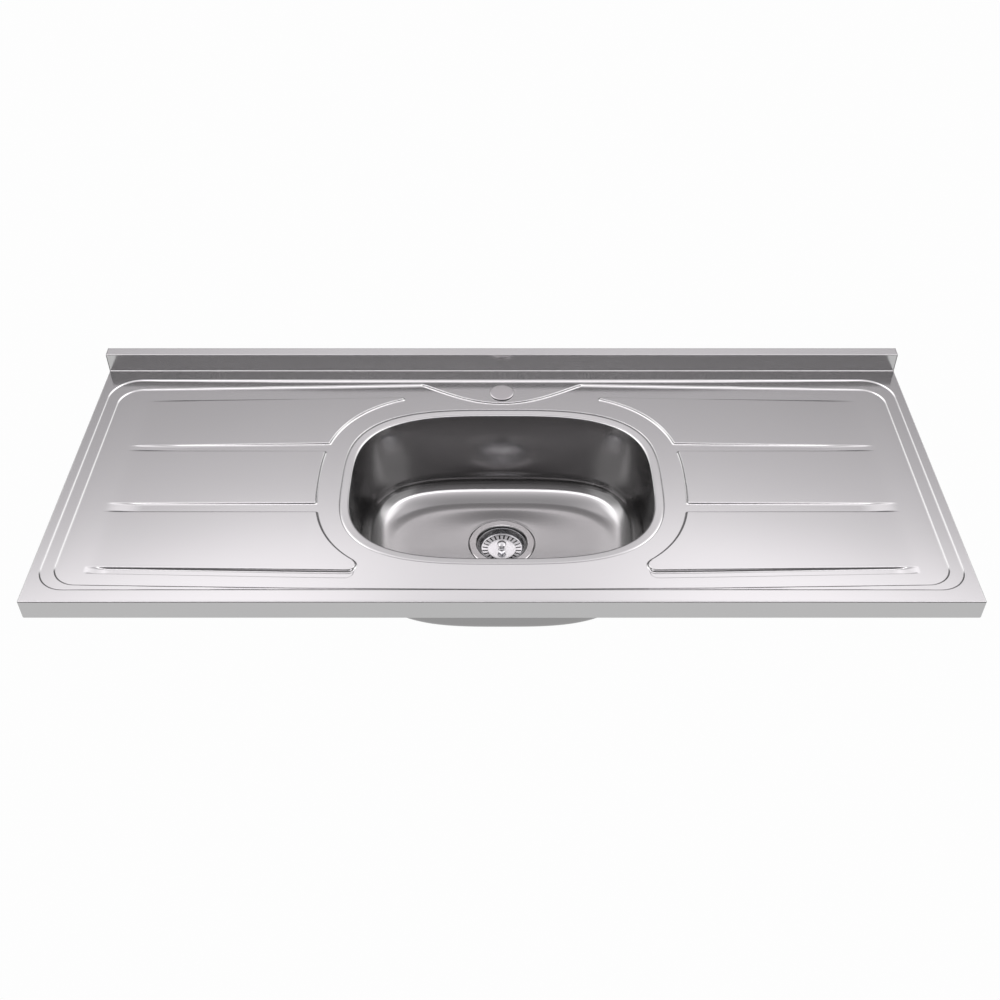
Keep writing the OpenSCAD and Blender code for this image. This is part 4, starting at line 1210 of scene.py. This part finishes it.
# Brightness of the studio by the sine of the height above the horizon, behind and in front
BACK_SKY = (
    (0.0, 0.12), (0.42, 0.24), (0.55, 0.41), (0.60, 0.53), (0.62, 0.61), (0.645, 0.66),
    (0.66, 0.74), (0.672, 0.81), (0.680, 1.18), (0.690, 1.50), (0.73, 1.48), (0.77, 1.3),
    (0.86, 1.1), (0.93, 1.1), (1.0, 0.7),
)
FRONT_SKY = (
    (0.0, 0.08), (0.45, 0.16), (0.56, 0.28), (0.595, 0.30), (0.62, 0.16), (0.69, 0.18),
    (0.708, 3.2), (0.765, 3.6), (0.785, 1.5), (0.87, 1.0), (0.93, 0.8), (1.0, 0.6),
)
SKY_SCALE = 3.7
SKY_TINT = (1.0, 0.968, 0.995)
# The two skies go over into each other within this share of the way to the front and back
SKY_BLEND = 0.25
# The back light is in two halves with a dimmer gap between them
GAP_DIM = 0.28
GAP_SIDE = (0.02, 0.2)
GAP_HEIGHT = (0.67, 0.69)
# Lamps at both sides, with less light in front, by the distance from the middle and the height
SIDE_LAMP = 1.2
SIDE_FILL = 0.35
LAMP_SIDE = (0.43, 0.58)
LAMP_HEIGHT = (0.1, 0.3)
# The camera that the photograph's perspective gives: metres, degrees down, millimetres of lens
CAMERA_PLACE = (0.0, -1.2756, 1.1278)
CAMERA_PITCH = 42.14
CAMERA_LENS = 43.63
CAMERA_SENSOR = 36.0
CAMERA_SHIFT = -0.0018


def make_floor():
    size = FLOOR_HALF_W
    z = float(cad_lo[2]) - FLOOR_GAP
    mesh = bpy.data.meshes.new("floor")
    corners = [(-size, -size, z), (size, -size, z), (size, size, z), (-size, size, z)]
    mesh.from_pydata(corners, [], [[0, 1, 2, 3]])
    floor = link("floor", mesh)
    mat, shader = new_material("pale_floor")
    g = Graph(mat.node_tree)
    shader.inputs["Base Color"].default_value = rgba(FLOOR_COLOUR)
    shader.inputs["Roughness"].default_value = FLOOR_ROUGH
    seen = g.add("ShaderNodeEmission", Color=rgba(BACKDROP), Strength=1.0)
    coords = g.nodes.new("ShaderNodeTexCoord")
    far = g.smooth(g.length(coords.outputs["Object"]), FLOOR_FADE_FROM, FLOOR_FADE_TO)
    level = g.math("ADD", FLOOR_IN_METAL, g.math("MULTIPLY", far, FAR_FLOOR_IN_METAL - FLOOR_IN_METAL))
    mirrored = g.add("ShaderNodeEmission", Color=rgba((1, 1, 1)), Strength=level)
    path = g.nodes.new("ShaderNodeLightPath")
    direct = g.either(path.outputs["Is Camera Ray"], shader.outputs[0], seen.outputs[0])
    both = g.either(path.outputs["Is Glossy Ray"], direct, mirrored.outputs[0])
    out = next(n for n in g.nodes if n.type == "OUTPUT_MATERIAL")
    g.put(out.inputs[0], both)
    mesh.materials.append(mat)


def sky_ramp(g, height, levels):
    node = g.nodes.new("ShaderNodeValToRGB")
    stops = node.color_ramp.elements
    while len(stops) < len(levels):
        stops.new(levels[-1][0])
    for stop, (at, value) in zip(stops, levels):
        stop.position = at
        stop.color = rgba([value * tint / SKY_SCALE for tint in SKY_TINT])
    node.color_ramp.interpolation = "LINEAR"
    g.put(node.inputs[0], height)
    return node.outputs["Color"]


def make_world():
    world = bpy.data.worlds.new("studio")
    bpy.context.scene.world = world
    world.use_nodes = True
    g = Graph(world.node_tree)
    g.nodes.clear()
    coords = g.nodes.new("ShaderNodeTexCoord")
    parts = g.add("ShaderNodeSeparateXYZ", Vector=coords.outputs["Generated"])
    height = parts.outputs["Z"]
    width = g.math("ABSOLUTE", parts.outputs["X"])
    behind = g.smooth(parts.outputs["Y"], -SKY_BLEND, SKY_BLEND)
    gap = g.math("SUBTRACT", 1.0, g.smooth(width, *GAP_SIDE))
    high = g.smooth(height, *GAP_HEIGHT)
    dim = g.math("SUBTRACT", 1.0, g.math("MULTIPLY", g.math("MULTIPLY", gap, high), GAP_DIM))
    back = g.vector("MULTIPLY", sky_ramp(g, height, BACK_SKY), dim)
    sky = g.mix(behind, sky_ramp(g, height, FRONT_SKY), back)
    lamp = g.math("MULTIPLY", g.smooth(width, *LAMP_SIDE), g.smooth(height, *LAMP_HEIGHT))
    level = g.math("ADD", SIDE_FILL, g.math("MULTIPLY", behind, SIDE_LAMP - SIDE_FILL))
    lamps = g.math("MULTIPLY", lamp, level)
    lit = g.vector("MULTIPLY", sky, (SKY_SCALE, SKY_SCALE, SKY_SCALE))
    light = g.add("ShaderNodeBackground", Color=g.vector("ADD", lit, lamps), Strength=1.0)
    seen = g.add("ShaderNodeBackground", Color=rgba(BACKDROP), Strength=1.0)
    path = g.nodes.new("ShaderNodeLightPath")
    both = g.either(path.outputs["Is Camera Ray"], light.outputs[0], seen.outputs[0])
    out = g.nodes.new("ShaderNodeOutputWorld")
    g.put(out.inputs[0], both)


def make_camera():
    data = bpy.data.cameras.new("camera")
    data.sensor_width = CAMERA_SENSOR
    data.lens = CAMERA_LENS
    data.shift_x = CAMERA_SHIFT
    camera = bpy.data.objects.new("camera", data)
    bpy.context.scene.collection.objects.link(camera)
    camera.location = CAMERA_PLACE
    camera.rotation_euler = (math.radians(90 - CAMERA_PITCH), 0, 0)
    bpy.context.scene.camera = camera


make_camera()
make_world()
make_floor()
make_deck(DECK_STEEL)
make_upstand(DECK_STEEL)
make_end_plates(DECK_STEEL)
make_bowl(SHADED_BOWL_STEEL, DECK_STEEL)
make_basket(FINISHES["chrome"], SHADED_BASKET_SIDE)
dress_cad_nodes()

bpy.context.scene.view_settings.view_transform = "Standard"
